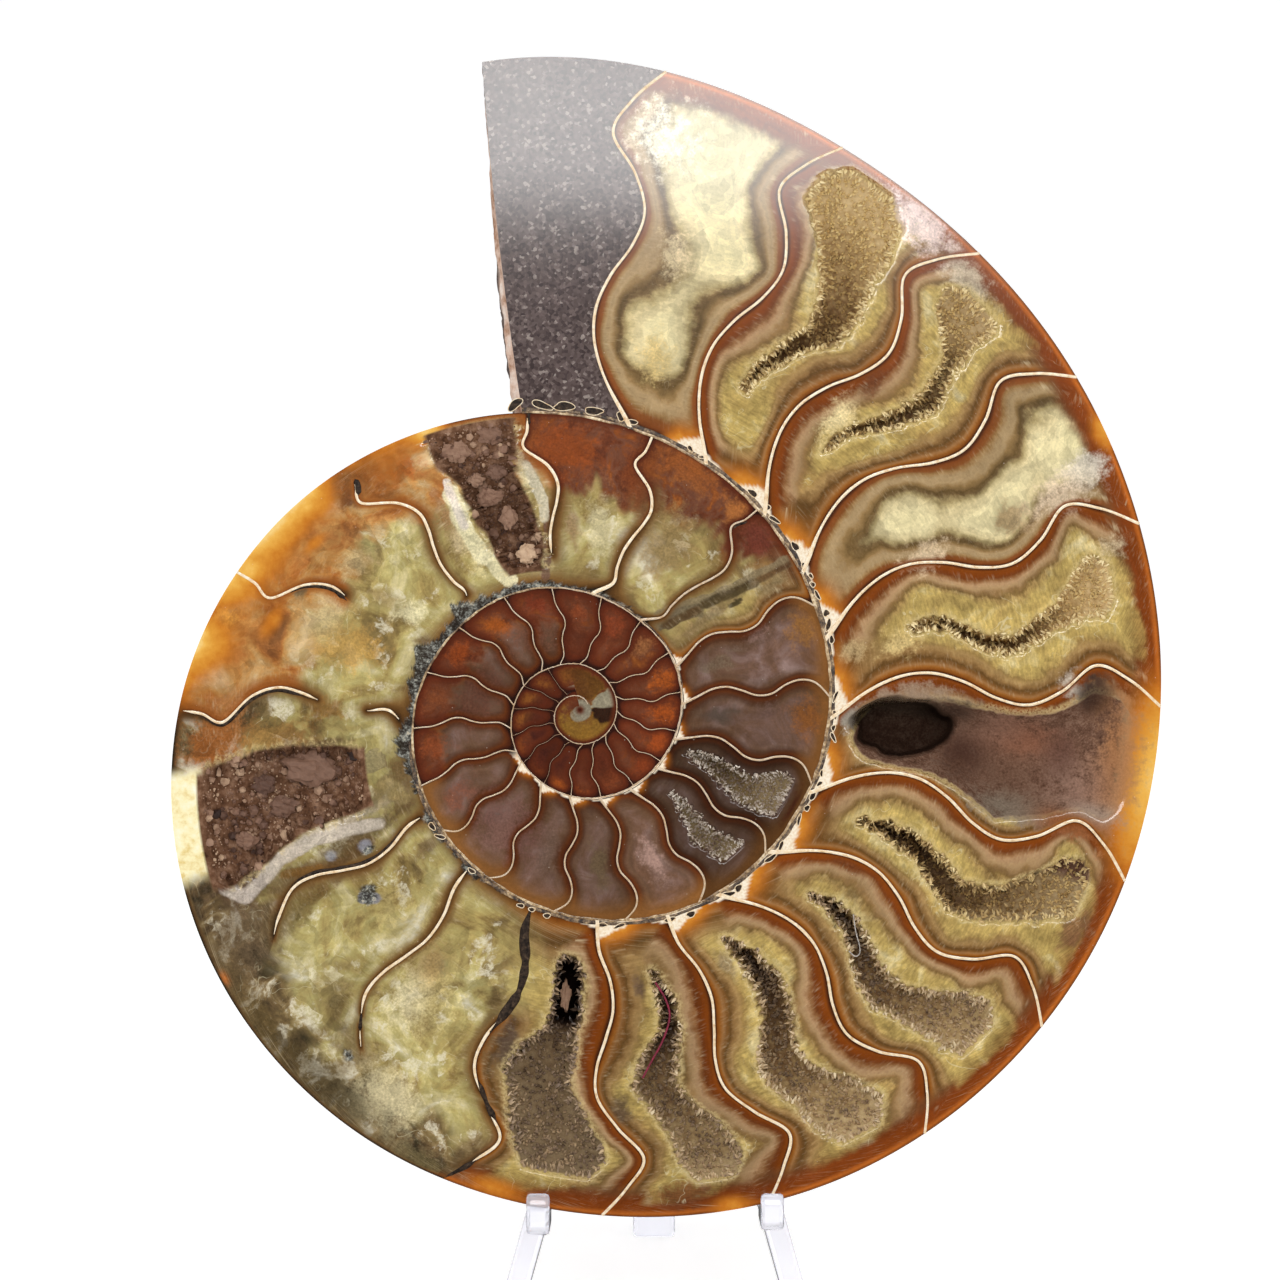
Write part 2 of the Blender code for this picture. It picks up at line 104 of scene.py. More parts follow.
# The septa from the aperture inwards, in runs of one kind of swing: (turn angle, how strong it is).
SEPTA_BY_KIND = (
    ("edge", ((-11, 1),)),
    ("outer", (
        (3.3, 1), (21, 0.92), (36.8, 1), (52, 0.95), (67.2, 1), (85.1, 1.04), (102.6, 1.1), (119.6, 1.1),
        (136.1, 1.08),
    )),
    ("lower", ((153.7, 0.95), (171.9, 1), (190.6, 1.05), (212, 0.9), (232, 1.1))),
    ("far", ((267.7, 0.95), (289.5, 1), (313, 1.12), (347.5, 1), (372.3, 1.06), (399.3, 0.94))),
    ("seam", ((413, 1),)),
    ("second", (
        (421.3, 1), (442.2, 1), (462.7, 1), (483, 1), (503.3, 1), (523, 1), (542.5, 1), (563.6, 1),
        (584.5, 0.9),
    )),
    ("inner", (
        (604.5, 0.7), (623.7, 0.8), (643.8, 0.9), (664.3, 1), (686, 1), (707, 1), (730.8, 1), (754.3, 1),
        (777.2, 1), (800, 1), (822.5, 1), (842.5, 1), (864.7, 1), (886.5, 1), (906, 1), (926, 0.9),
        (947, 0.8), (969, 0.7), (991, 0.6), (1013, 0.5),
    )),
    ("seam", ((1040, 1), (1069, 0), (1159, 0), (1249, 0), (1339, 0), (1429, 0))),
)
SEPTA = tuple((turn, kind, strength) for kind, row in SEPTA_BY_KIND for turn, strength in row)
# The stretches that are left of the broken septa, as (septum, first share, last share).
BROKEN_SEPTA = (
    (12, 0.42, 0.67), (12, 0.72, 0.92), (13, 0.03, 0.66), (13, 0.7, 0.75), (14, 0.05, 0.74),
    (15, 0.06, 0.2), (15, 0.42, 0.98), (16, 0.52, 1), (17, 0.1, 0.9), (18, 0.2, 0.97),
)
# Dark mineral that follows a septum: (septum, first share, last share, how far beside it, width), in mm.
DARK_SEAMS = (
    (12, 0.02, 0.47, -0.15, 1), (12, 0.64, 0.75, -0.25, 0.6), (12, 0.9, 0.99, -0.1, 0.5),
    (13, 0.66, 0.71, 0, 0.4), (14, 0.13, 0.6, 0.32, 0.34), (15, 0.46, 0.9, -0.34, 0.34),
    (16, 0.5, 0.74, -0.3, 0.42), (17, 0.84, 0.92, 0.3, 0.6), (18, 0.93, 1, 0.2, 0.4),
    (20, 0.8, 0.9, 0.3, 0.25),
)
ABSENT_SEPTA = (0, 21, 52, 53, 54, 55, 56)

# What fills the chambers, from the aperture inwards: (how many alike, near the inner wall, near the outer
# wall, share where the two meet, scale of its bands).
FILLING_RUNS = (
    (1, "mud", "mud", 0.5, 1), (1, "banded", "banded", 0.5, 0.98), (2, "honey", "honey", 0.5, 1),
    (1, "banded", "banded", 0.5, 1), (1, "honey", "honey", 0.5, 0.95), (1, "honey", "amber", 0.96, 0.8),
    (1, "honey", "honey", 0.5, 0.9), (1, "honey", "honey", 0.5, 0.95), (3, "honey", "honey", 0.5, 1),
    (1, "jade", "weathered", 0.84, 0.8), (1, "jade", "weathered", 0.82, 0.8),
    (1, "jade", "weathered", 0.68, 0.8), (1, "jade", "amber", 0.55, 0.8), (1, "jade", "amber", 0.6, 0.8),
    (1, "jade", "amber", 0.62, 0.8), (1, "jade", "russet", 0.56, 0.8), (1, "jade", "russet", 0.66, 0.8),
    (1, "jade", "russet", 0.7, 0.7), (1, "honey", "honey", 0.5, 0.7), (9, "mauve", "mauve", 0.5, 1),
    (1, "mauve", "russet", 0.7, 1), (3, "mauve", "russet", 0.6, 1), (1, "mauve", "russet", 0.5, 1),
    (2, "russet", "russet", 0.5, 1), (20, "russet", "russet", 0.5, 0.8),
)
FILLINGS = tuple(row[1:] for row in FILLING_RUNS for _ in range(row[0]))
FILLING_KINDS = ("banded", "jade", "weathered", "amber", "mauve", "russet", "mud")
# How light a chamber is beside the others of its kind.
TONES = {
    1: 1.1, 4: 1.1, 10: 0.88, 11: 0.88, 13: 0.92, 14: 0.86, 20: 0.9, 23: 0.86, 24: 0.42, 25: 0.5, 26: 1.14,
    27: 0.88, 29: 1.06, 40: 1.12, 41: 1.15, 42: 1.1, 46: 0.82,
}
# Soft stains in the stone, with a few patches of painted glare and painted shade among them: (turn angle,
# share, breadth in degrees, height in shares, colour, strength).
STAINS_AND_PAINTED_LIGHT = (
    # The first patch, near-white at the top of the first chamber, is painted glare, not a stain.
    (8, 0.82, 5, 0.12, (250, 242, 214), 0.5), (64.5, 0.9, 1.8, 0.07, (190, 182, 168), 0.85),
    # The dark spot at 88.3 degrees is painted shade for a small pit in the open hollow's skin.
    (73, 0.9, 1.6, 0.05, (196, 176, 142), 0.6), (88.3, 0.8, 2.3, 0.055, (52, 38, 34), 0.99),
    (99, 0.58, 4, 0.14, (106, 78, 62), 0.5), (93.6, 0.6, 2.4, 0.1, (134, 84, 60), 0.6),
    (96, 0.9, 8, 0.08, (168, 116, 74), 0.7), (96, 0.42, 4, 0.08, (66, 42, 34), 0.7),
    (92.6, 0.52, 2.2, 0.1, (142, 106, 88), 0.6), (103, 0.6, 1.8, 0.12, (134, 122, 106), 0.75),
    (99, 0.78, 3.5, 0.09, (148, 116, 100), 0.6), (95, 0.72, 2.6, 0.05, (96, 66, 56), 0.6),
    (91.5, 0.06, 3, 0.03, (150, 142, 128), 0.9), (88.6, 0.24, 3.4, 0.14, (150, 126, 104), 0.8),
    (86.9, 0.72, 1.6, 0.03, (196, 182, 164), 0.7), (101.5, 0.84, 1, 0.08, (170, 160, 146), 0.6),
    (214, 0.93, 9, 0.07, (70, 58, 36), 0.9), (226, 0.95, 6, 0.05, (96, 78, 46), 0.8),
    (200, 0.97, 4, 0.04, (104, 90, 58), 0.7), (215, 0.76, 5, 0.09, (118, 98, 62), 0.65),
    (234, 0.95, 4, 0.06, (100, 80, 48), 0.85), (233, 0.985, 0.8, 0.015, (222, 120, 40), 0.95),
    (236, 0.84, 6, 0.13, (102, 84, 62), 0.8), (243.4, 0.78, 3, 0.1, (86, 60, 46), 0.85),
    (240, 0.6, 2.4, 0.1, (112, 92, 62), 0.7), (222, 0.3, 7, 0.14, (176, 158, 104), 0.5),
    (206, 0.45, 5, 0.16, (184, 168, 112), 0.5), (196, 0.4, 2, 0.25, (104, 82, 50), 0.75),
    (271, 0.79, 4, 0.1, (160, 108, 64), 0.6), (264.5, 0.82, 4.5, 0.14, (156, 92, 42), 0.95),
    (265, 0.6, 3, 0.1, (158, 122, 66), 0.8), (262.5, 0.36, 1.2, 0.12, (96, 74, 50), 0.8),
    (244.5, 0.42, 1.3, 0.26, (206, 190, 166), 0.95), (247, 0.17, 3, 0.05, (126, 104, 62), 0.8),
    (235, 0.52, 1.6, 0.2, (102, 76, 42), 0.7), (285, 0.38, 6, 0.18, (172, 134, 70), 0.85),
    (289.8, 0.53, 4.5, 0.07, (186, 168, 124), 0.6), (293.2, 0.7, 2, 0.03, (96, 80, 56), 0.8),
    (304, 0.58, 4, 0.08, (180, 156, 112), 0.7), (312.4, 0.85, 2.4, 0.05, (84, 44, 28), 0.9),
    (323, 0.85, 5, 0.08, (150, 78, 30), 0.7), (326, 0.6, 1.4, 0.12, (158, 120, 84), 0.6),
    (327.4, 0.4, 1.9, 0.08, (234, 222, 180), 0.95), (330.8, 0.26, 2.4, 0.07, (220, 206, 152), 0.95),
    (346.6, 0.68, 1.5, 0.13, (206, 196, 156), 0.9), (256, 0.165, 3.6, 0.055, (150, 136, 98), 1),
    # The pinkish-white patch at 34.6 degrees by the outer wall is painted glare, the haze of a lamp's
    # reflection.
    (324.5, 0.18, 2.2, 0.08, (204, 190, 138), 0.7), (34.6, 0.95, 4, 0.07, (230, 206, 198), 0.9),
    (206, 0.83, 4.5, 0.09, (206, 192, 150), 0.85), (240.4, 0.24, 2.6, 0.2, (98, 78, 54), 0.8),
    (250, 0.06, 9, 0.06, (106, 78, 48), 0.8), (315, 0.94, 6, 0.07, (118, 68, 30), 0.9),
    (283, 0.94, 4.5, 0.06, (232, 170, 78), 0.85), (103, 0.78, 1.6, 0.1, (136, 78, 38), 0.9),
    (357.6, 0.36, 3, 0.12, (140, 112, 80), 0.75), (378, 0.64, 2.6, 0.12, (84, 46, 26), 0.8),
    (300, 0.22, 4, 0.08, (216, 206, 164), 0.8), (222, 0.66, 4, 0.1, (138, 120, 78), 0.7),
    (66, 0.64, 2.2, 0.06, (146, 120, 82), 0.8), (228, 0.08, 3, 0.06, (108, 84, 56), 0.8),
    (168, 0.93, 4, 0.05, (110, 60, 32), 0.85), (270, 0.36, 3, 0.1, (130, 90, 42), 0.8),
    (41.5, 0.35, 2, 0.08, (224, 204, 152), 0.7), (294, 0.08, 3, 0.05, (96, 72, 44), 0.75),
    (234, 0.64, 2.6, 0.09, (118, 98, 56), 0.75), (12, 0.51, 2.4, 0.08, (200, 180, 140), 0.7),
    (78, 0.08, 2.6, 0.05, (180, 154, 110), 0.7), (264, 0.5, 3, 0.09, (128, 90, 50), 0.8),
    (12, 0.21, 3, 0.08, (184, 160, 104), 0.7), (324, 0.5, 3, 0.08, (136, 94, 56), 0.75),
    (211, 0.51, 3, 0.1, (220, 206, 162), 0.8), (90.2, 0.36, 1.6, 0.08, (44, 28, 24), 0.8),
    (66, 0.36, 2.4, 0.08, (208, 184, 150), 0.75), (398, 0.9, 3, 0.07, (178, 110, 54), 0.8),
    (210, 0.36, 3, 0.08, (144, 114, 70), 0.8), (240, 0.36, 2.6, 0.08, (90, 68, 48), 0.8),
    (300, 0.36, 3, 0.08, (144, 124, 84), 0.75), (324, 0.36, 2.6, 0.07, (210, 188, 144), 0.75),
    (150, 0.22, 1.6, 0.06, (142, 120, 88), 0.8), (192, 0.5, 2.2, 0.1, (84, 68, 58), 0.85),
    (318, 0.78, 3, 0.08, (128, 76, 34), 0.8), (78, 0.22, 2.4, 0.06, (210, 184, 124), 0.75),
    (42, 0.5, 1.6, 0.06, (102, 56, 28), 0.8), (66, 0.8, 2.4, 0.1, (200, 178, 150), 0.7),
    (42, 0.92, 3, 0.05, (188, 172, 146), 0.75), (348, 0.9, 3, 0.08, (132, 84, 42), 0.8),
    (174, 0.64, 1.6, 0.07, (94, 74, 56), 0.8), (168, 0.22, 1.4, 0.06, (98, 76, 60), 0.8),
    (120, 0.22, 1.6, 0.06, (102, 54, 24), 0.8), (114, 0.92, 2.6, 0.05, (120, 82, 56), 0.8),
    (366.2, 0.38, 4, 0.17, (186, 174, 134), 0.95), (356, 0.8, 9, 0.16, (136, 66, 26), 0.9),
    (374, 0.72, 4, 0.2, (122, 60, 28), 0.8), (384, 0.92, 9, 0.1, (142, 78, 34), 0.85),
    (388, 0.45, 9, 0.24, (142, 116, 74), 0.9), (405.8, 0.88, 4.5, 0.09, (108, 52, 38), 0.95),
    (403, 0.45, 3, 0.14, (134, 112, 66), 0.7), (414, 0.32, 3, 0.3, (136, 112, 76), 0.8),
    (415.4, 0.53, 1, 0.06, (30, 20, 14), 1), (417, 0.8, 3, 0.12, (140, 120, 84), 0.7),
    (430, 0.86, 5, 0.12, (140, 94, 44), 0.7), (431, 0.28, 4, 0.16, (102, 86, 68), 0.7),
    (427, 0.58, 3, 0.12, (124, 96, 86), 0.6), (452, 0.85, 6, 0.12, (136, 82, 36), 0.7),
    (452, 0.26, 4, 0.16, (84, 70, 58), 0.75), (450, 0.58, 3, 0.1, (104, 78, 68), 0.6),
    (473, 0.98, 7, 0.06, (84, 34, 18), 0.9), (514, 0.55, 4, 0.2, (150, 120, 108), 0.7),
    (533, 0.55, 4, 0.25, (100, 82, 58), 0.7), (553, 0.55, 4, 0.25, (112, 92, 76), 0.6),
    (574, 0.55, 5, 0.22, (140, 106, 92), 0.7), (595, 0.7, 5, 0.18, (122, 72, 50), 0.7),
    (616, 0.8, 5, 0.15, (130, 64, 32), 0.7), (634, 0.8, 5, 0.14, (118, 62, 32), 0.7),
    (640, 0.4, 22, 0.26, (92, 56, 42), 0.75), (690, 0.4, 22, 0.26, (98, 62, 46), 0.6),
    (655, 0.8, 6, 0.14, (140, 64, 24), 0.8), (676, 0.74, 5, 0.15, (150, 76, 24), 0.8),
    (697, 0.8, 6, 0.15, (112, 46, 24), 0.8), (720, 0.7, 6, 0.18, (128, 62, 32), 0.7),
    (742, 0.7, 7, 0.25, (120, 54, 28), 0.7), (766, 0.7, 6, 0.25, (150, 96, 56), 0.7),
    (790, 0.78, 9, 0.3, (160, 78, 24), 0.65), (812, 0.78, 9, 0.3, (150, 70, 22), 0.65),
    (832, 0.8, 9, 0.25, (140, 62, 22), 0.8), (852, 0.8, 9, 0.22, (120, 52, 22), 0.7),
    (875, 0.7, 9, 0.25, (124, 60, 30), 0.7), (940, 0.75, 25, 0.25, (110, 46, 24), 0.7),
    (990, 0.35, 40, 0.4, (58, 22, 20), 1), (935, 0.35, 30, 0.4, (58, 23, 18), 0.9),
    (915, 0.92, 16, 0.12, (166, 82, 26), 0.8), (960, 0.95, 14, 0.1, (150, 78, 26), 0.7),
    (880, 0.4, 20, 0.3, (84, 36, 20), 0.8), (1080, 0.6, 24, 0.4, (72, 36, 12), 1),
    (1110, 0.6, 22, 0.4, (70, 34, 12), 1), (572, 0.5, 20, 0.3, (98, 66, 58), 0.7),
    (1000, 0.8, 25, 0.25, (140, 84, 32), 0.7), (1045, 0.6, 22, 0.4, (112, 60, 24), 0.8),
    (1240, 0.7, 130, 0.6, (128, 94, 34), 0.9), (1174, 0.62, 30, 0.34, (22, 15, 8), 1),
    (1147, 0.68, 19, 0.46, (150, 144, 120), 1), (1240, 0, 260, 0.38, (140, 134, 114), 1),
)
# Pale borders, thin seams and round spots: (half width in mm, colour, points across and up in mm).
STREAKS = (
    (0.62, (208, 194, 180), (
        (-39.4, -19.9), (-37.4, -20.8), (-35.7, -19.3), (-33.7, -16.7), (-30.4, -14.8), (-26, -13.5),
        (-22.4, -12.7),
    )),
    (0.85, (226, 216, 174), (
        (-14.3, 24.2), (-13.3, 21.4), (-12.1, 19.1), (-10.7, 17.2), (-8.8, 15.5), (-7.7, 14.7),
    )),
    (0.4, (226, 214, 200), ((-14.9, 25.4), (-13.9, 22.8), (-12.9, 20.6))),
    (0.5, (204, 194, 168), ((-6, 27.3), (-5.1, 25.4), (-4.1, 23.5), (-3.9, 21.5))),
    (0.36, (104, 76, 62), ((-3.6, 20.6), (-3.6, 17.6), (-3.9, 14.8))),
    (0.9, (150, 128, 84), ((-21.6, -8.4), (-20, -9.6))),
    (0.5, (92, 66, 40), ((-27.6, -17.4), (-23.6, -14.6))), (0.55, (146, 146, 156), ((-24, -15.1),)),
    (0.5, (140, 140, 150), ((-27.8, -16.3),)),
    (0.5, (128, 112, 84), ((8.4, 10.2), (10.4, 11.2), (14.8, 12.6), (18.6, 14.4), (24, 17))),
    (0.75, (104, 92, 74), ((8.8, 9.6), (10.6, 10.5), (13, 11.1))),
    (0.42, (66, 40, 26), ((9.6, 9.5), (13.2, 11.1))),
    (0.42, (48, 30, 20), ((13.8, 11.8), (16.6, 12.9), (19.4, 14.2))),
    (0.26, (84, 60, 38), ((19.4, 14.2), (23.4, 16.3))),
    (0.5, (140, 140, 150), ((-24.2, -21), (-22.9, -21))),
    (0.34, (120, 84, 40), ((-33, -18.4), (-29, -17.6))),
)

# How far dark metallic mineral stands out from the inner wall: (turn angle, mm).
METAL_STRIP = (
    (196, -0.4), (204, 0.5), (212, 0.9), (222, 0.5), (232, 1), (242, 0.6), (250, 1.3), (262, 1.6),
    (268, 0.8), (274, 0.9), (282, 1.5), (290, 3), (294, 1.5), (300, 0.8), (306, 1.2), (311, 3), (315, 1.4),
    (322, 0.8), (336, 0.9), (350, 0.5), (366, 0.3), (392, 0.3), (404, -0.4),
)
# Spots of metal away from the wall: (turn angle, share, breadth in degrees, height in shares).
METAL_SPOTS = ((229, 0.36, 2, 0.05), (214, 0.8, 1.2, 0.02), (236.5, 0.28, 1, 0.03))
# Spots where light shines through: (turn angle, share, breadth in degrees, height in shares, how bright).
GLOW_SPOTS = (
    (97, 1, 10, 0.12, 0.9), (293, 0.97, 4, 0.1, 0.9), (306, 0.96, 4, 0.07, 0.8), (331, 1, 4, 0.08, 0.95),
    (286, 0.74, 5, 0.06, 0.45), (302, 0.8, 4, 0.05, 0.45), (190, 0.97, 5, 0.05, 0.45),
    (163, 0.99, 3, 0.05, 0.5), (62, 1, 2.5, 0.05, 0.6),
)
# Porcelain wedges stand at the feet of the septa: (first turn angle, last, size).
FOOT_STRETCHES = ((12.0, 196.0, 1.0), (414.0, 600.0, 0.42))

# The bigger stones in the rubble and the pebble:
# (turn angle, share, half width, half height, depth of the middle, tone).
BOULDERS = (
    (258.3, 0.43, 2.7, 2, 1.8, 0.46), (258.4, 0.205, 1.7, 0.9, 1.1, -0.1), (252, 0.55, 1.5, 1.1, 2, 0.4),
    (256.8, 0.62, 1.3, 0.9, 1.8, 0.3), (248.5, 0.72, 1.2, 0.9, 1.6, 0.5), (341, 0.2, 1.1, 1, 0.9, 0.95),
    (336.9, 0.55, 1.3, 0.9, 1.8, 0.55), (340.5, 0.68, 1.1, 0.8, 1.3, 0.42),
    (334.5, 0.84, 1.6, 1.1, 0.9, 0.6), (342, 0.9, 1.5, 1.1, 0.8, 0.5), (339.6, 0.42, 0.9, 1.2, 1.5, 0.62),
    (335.6, 0.66, 0.9, 0.7, 1.6, 0.62), (182.9, 0.275, 0.62, 1.5, 2.6, 0.66),
)
# How much duller and darker the crystals of a chamber are than the palest ones.
DULLNESS = {2: 0.06, 3: 0.12, 7: 0.22, 8: 0.12, 9: 0.12, 10: 0.22, 11: 0.42, 24: 0.14, 25: 0.18}
# The strands caught in two hollows: (name, half width, places across, places up), in mm.
STRANDS = (
    ("red_thread", 0.11, (8.4, 9.6, 10.0, 9.2, 8.0, 7.0), (-30.4, -32.4, -34.4, -37.0, -39.2, -41.1)),
    ("white_hair", 0.06, (30.5, 30.8, 31.2, 31.2, 30.7, 30.0), (-22.8, -24.8, -26.3, -27.2, -27.5, -26.9)),
)

# Hollows in the face, as stations from the inner wall outwards:
# (turn angle, share of the way from inner to outer wall, half width, depth).
HOLLOWS = {
    "druse_2": (
        (27.3, 0.24, 0.7, 3), (27.9, 0.32, 1, 5), (30.1, 0.42, 1.3, 5), (33, 0.52, 2.1, 5),
        (32.7, 0.62, 3, 4.6), (30.8, 0.72, 3.9, 3.8), (29.1, 0.82, 6, 2.8), (29.2, 0.9, 5.4, 2),
        (28.8, 0.96, 2.8, 1),
    ),
    "druse_3": (
        (43.2, 0.25, 0.3, 2.5), (44.1, 0.36, 0.7, 4.5), (47.3, 0.48, 1.1, 4.5), (48.8, 0.6, 1.4, 4.5),
        (46.7, 0.72, 1.2, 3.5), (44.5, 0.8, 3.4, 2.8), (44.3, 0.86, 3.8, 2.4), (44.8, 0.9, 2.8, 1.2),
    ),
    "druse_5": (
        (76, 0.25, 0.5, 3), (76.6, 0.36, 0.9, 5), (80.7, 0.48, 1.1, 5), (81.6, 0.56, 1.2, 5),
        (79, 0.7, 1.5, 3.6), (77, 0.78, 3, 2.8), (76.4, 0.84, 3.6, 2.4), (76.5, 0.88, 2.2, 1.2),
    ),
    "open_6": (
        (95.8, 0.07, 1.8, 2.5), (94.6, 0.14, 3.1, 3.2), (94.3, 0.24, 3.8, 3.6), (94.3, 0.34, 4.2, 3.8),
        (95.8, 0.44, 4.8, 3.8), (97.6, 0.56, 6, 3.4), (96.7, 0.68, 5.9, 2.7), (94.5, 0.8, 6.6, 1.8),
        (95.3, 0.88, 7, 0.9), (96, 0.94, 6, 0.3),
    ),
    "druse_7": (
        (111.5, 0.17, 0.4, 3), (111.4, 0.28, 1.1, 5.5), (112.3, 0.38, 1.4, 5.5), (116.5, 0.55, 2, 4.6),
        (115.6, 0.64, 2.2, 4.2), (113.4, 0.72, 2.8, 3.6), (111, 0.8, 4, 3), (110, 0.86, 3.6, 2.4),
        (110.3, 0.9, 2.4, 1.2),
    ),
    "druse_8": (
        (128.8, 0.18, 0.4, 3), (127.9, 0.26, 0.9, 5.5), (128.6, 0.34, 1.2, 5.5), (132.6, 0.5, 2, 4.6),
        (133, 0.58, 2.1, 4.4), (131.5, 0.66, 2.3, 4), (130, 0.74, 3.3, 3.4), (129.2, 0.82, 3.7, 3),
        (129.5, 0.88, 2.8, 1.8),
    ),
    "druse_9": (
        (147.7, 0.13, 0.4, 3), (146, 0.22, 1.2, 5.5), (145.4, 0.32, 1.6, 5.5), (146.8, 0.42, 1.9, 5),
        (150.5, 0.56, 2.5, 4.6), (149.8, 0.64, 2.8, 4.2), (147.6, 0.72, 3.7, 3.4), (146.2, 0.82, 4.2, 2.8),
        (146.5, 0.9, 2.6, 1.4),
    ),
    "druse_10": (
        (164.6, 0.17, 0.4, 3), (163.4, 0.28, 1, 5.5), (164.4, 0.38, 1.3, 5.5), (167.6, 0.48, 2.3, 4.6),
        (168.8, 0.56, 2.6, 4.2), (166.8, 0.64, 2.7, 4), (164.6, 0.72, 3.3, 3.4), (163.6, 0.82, 3.7, 2.8),
        (164, 0.89, 2.2, 1.4),
    ),
    "druse_11": (
        (182.6, 0.135, 0.9, 4.5), (182.3, 0.2, 1.7, 8), (182.6, 0.34, 1.8, 8), (183.6, 0.4, 2, 3.8),
        (185.4, 0.47, 3.2, 3.4), (186.8, 0.56, 3.8, 3), (184.6, 0.68, 4.6, 2.6), (182.6, 0.8, 5.4, 2.2),
        (182.8, 0.88, 4, 1.2),
    ),
    "rubble_14": (
        (252.2, 0.22, 3.1, 1.2), (253.3, 0.32, 3.8, 2.4), (254.4, 0.5, 4.7, 2.6), (253.2, 0.66, 5.9, 2.6),
        (252, 0.8, 6.8, 2.2), (252, 0.87, 6.4, 1),
    ),
    "rubble_17": (
        (338.8, 0.12, 1.9, 1.2), (339.1, 0.28, 2.7, 2.8), (339, 0.48, 3.1, 3.2), (338.2, 0.64, 3.2, 2.4),
        (337.4, 0.76, 3.9, 1.4), (338, 0.86, 4.6, 0.8), (338.4, 0.95, 5, 0.4),
    ),
    "druse_24": (
        (471.5, 0.12, 0.5, 1.4), (472, 0.28, 0.9, 2.8), (474.4, 0.46, 1.4, 3.2), (475.6, 0.6, 1.8, 2.6),
        (473.2, 0.76, 2.6, 2), (473.2, 0.88, 2.5, 1.2),
    ),
    "druse_25": (
        (492, 0.2, 0.4, 0.8), (493.4, 0.38, 0.8, 1.6), (495.8, 0.56, 1.3, 1.9), (493.6, 0.74, 1.5, 1.7),
        (492.6, 0.84, 1.7, 0.9),
    ),
}
# How ragged the edges of each kind of hollow are, and the radius of their corners in mm.
HOLLOW_EDGES = {"open": (0.35, 3.2), "rubble": (2.4, 0.5), "druse": (1.0, 0.5)}
# The pit at the inner end of the open hollow: turn angle, share, half width, half height and depth in mm.
PIT = (93.3, 0.235, 3.5, 6.2, 9.0)
# What the cut face carries at its points beside the amounts of its fillings. Distances are in mm.
FACE_MASKS = (
    "edge", "rim", "along", "side", "outside", "deep", "skin", "dull", "rubble", "chamber", "band", "tone",
    "stained", "porcelain", "glow", "block", "metal",
)


# ---------------------------------------------------------------------------------------------------
# Geometry of the coil
# ---------------------------------------------------------------------------------------------------


def through(values, place):
    """Catmull-Rom curve through evenly spaced values, read at fractional places along them."""
    values = np.asarray(values, float)
    place = np.asarray(place, float)
    index = np.clip(np.floor(place).astype(int), 1, len(values) - 3)
    part = np.minimum(place - index, 1.0)
    before, here, after, later = (values[index + step] for step in (-1, 0, 1, 2))
    bend = 2 * before - 5 * here + 4 * after - later + part * (3 * (here - after) + later - before)
    return here + 0.5 * part * (after - before + part * bend)


def wall_radius(turn):
    """Radius of the coil's outer wall at a turn angle, in mm: a smooth curve through log radii."""
    return np.exp(through(LOG_RADII, np.asarray(turn, float) / RADIUS_STEP + 1.0))


def inner_radius(turn):
    """Radius of the wall one turn further in. It shrinks to nothing in the last turn."""
    turn = np.asarray(turn, float)
    return wall_radius(turn + 360.0) * (turn < CORE_TURN)


def coil_radius(turn, share):
    """Radius of a share of the way from the inner wall to the outer wall."""
    inner = inner_radius(turn)
    return inner + share * (wall_radius(turn) - inner)


def flank(share):
    """Half thickness over the whorl's radius: a superellipse from the umbilical shoulder to the edge."""
    run = np.clip((share - UMBILICAL_SHOULDER) / (1.0 - UMBILICAL_SHOULDER), 0.0, 1.0)
    return FLANK_BREADTH * (1.0 - run**FLANK_CURVE) ** FLANK_ROUNDING


def thickness(turn, radius, whorls=4):
    """Thickness of the stone where turn is the outermost whorl's. Each flank rises from the one below."""
    outer = wall_radius(turn)
    share = radius / outer
    crest = outer * flank(share)
    if whorls == 0:
        return crest
    below = thickness(turn + 360.0, np.minimum(radius, UMBILICAL_SEAM * outer), whorls - 1)
    rise = np.clip((share - UMBILICAL_SEAM) / (UMBILICAL_SHOULDER - UMBILICAL_SEAM), 0.0, 1.0)
    slope = below + (outer * FLANK_BREADTH - below) * rise * rise * (3.0 - 2.0 * rise)
    return np.where(share >= UMBILICAL_SHOULDER, crest, slope)


def flat_place(turn, radius):
    """Place on the cut face, in mm to the right of and above the coil's centre."""
    angle = np.radians(turn)
    return radius * np.sin(angle), radius * np.cos(angle)


def coil_centre():
    """Where the coil's centre stands, in mm: the face's outline, leaning back, fills the node's box."""
    low, high = (np.array(corner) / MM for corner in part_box("fossil_half"))
    turn = np.linspace(APERTURE_ANGLE + APERTURE_SLANT, APERTURE_ANGLE + 360.0, 2000)
    across, up = flat_place(turn, wall_radius(turn))
    right = high[0] - across.max()
    front = low[1] - up.min() * math.sin(LEAN)
    return np.array((right, front, high[2] - up.max() * math.cos(LEAN)))


CENTRE = coil_centre()


def to_world(across, depth, up):
    """Points of the stone's own frame, in mm, as rows of x, y, z in metres."""
    across, depth, up = np.broadcast_arrays(across, depth, up)
    back = depth * math.cos(LEAN) + up * math.sin(LEAN)
    height = up * math.cos(LEAN) - depth * math.sin(LEAN)
    return (np.stack((across, back, height), axis=-1).reshape(-1, 3) + CENTRE) * MM


def in_face(turn, radius, depth):
    """World points at a turn angle, a radius and a depth behind the cut face."""
    across, up = flat_place(turn, radius)
    return to_world(across, depth, up)


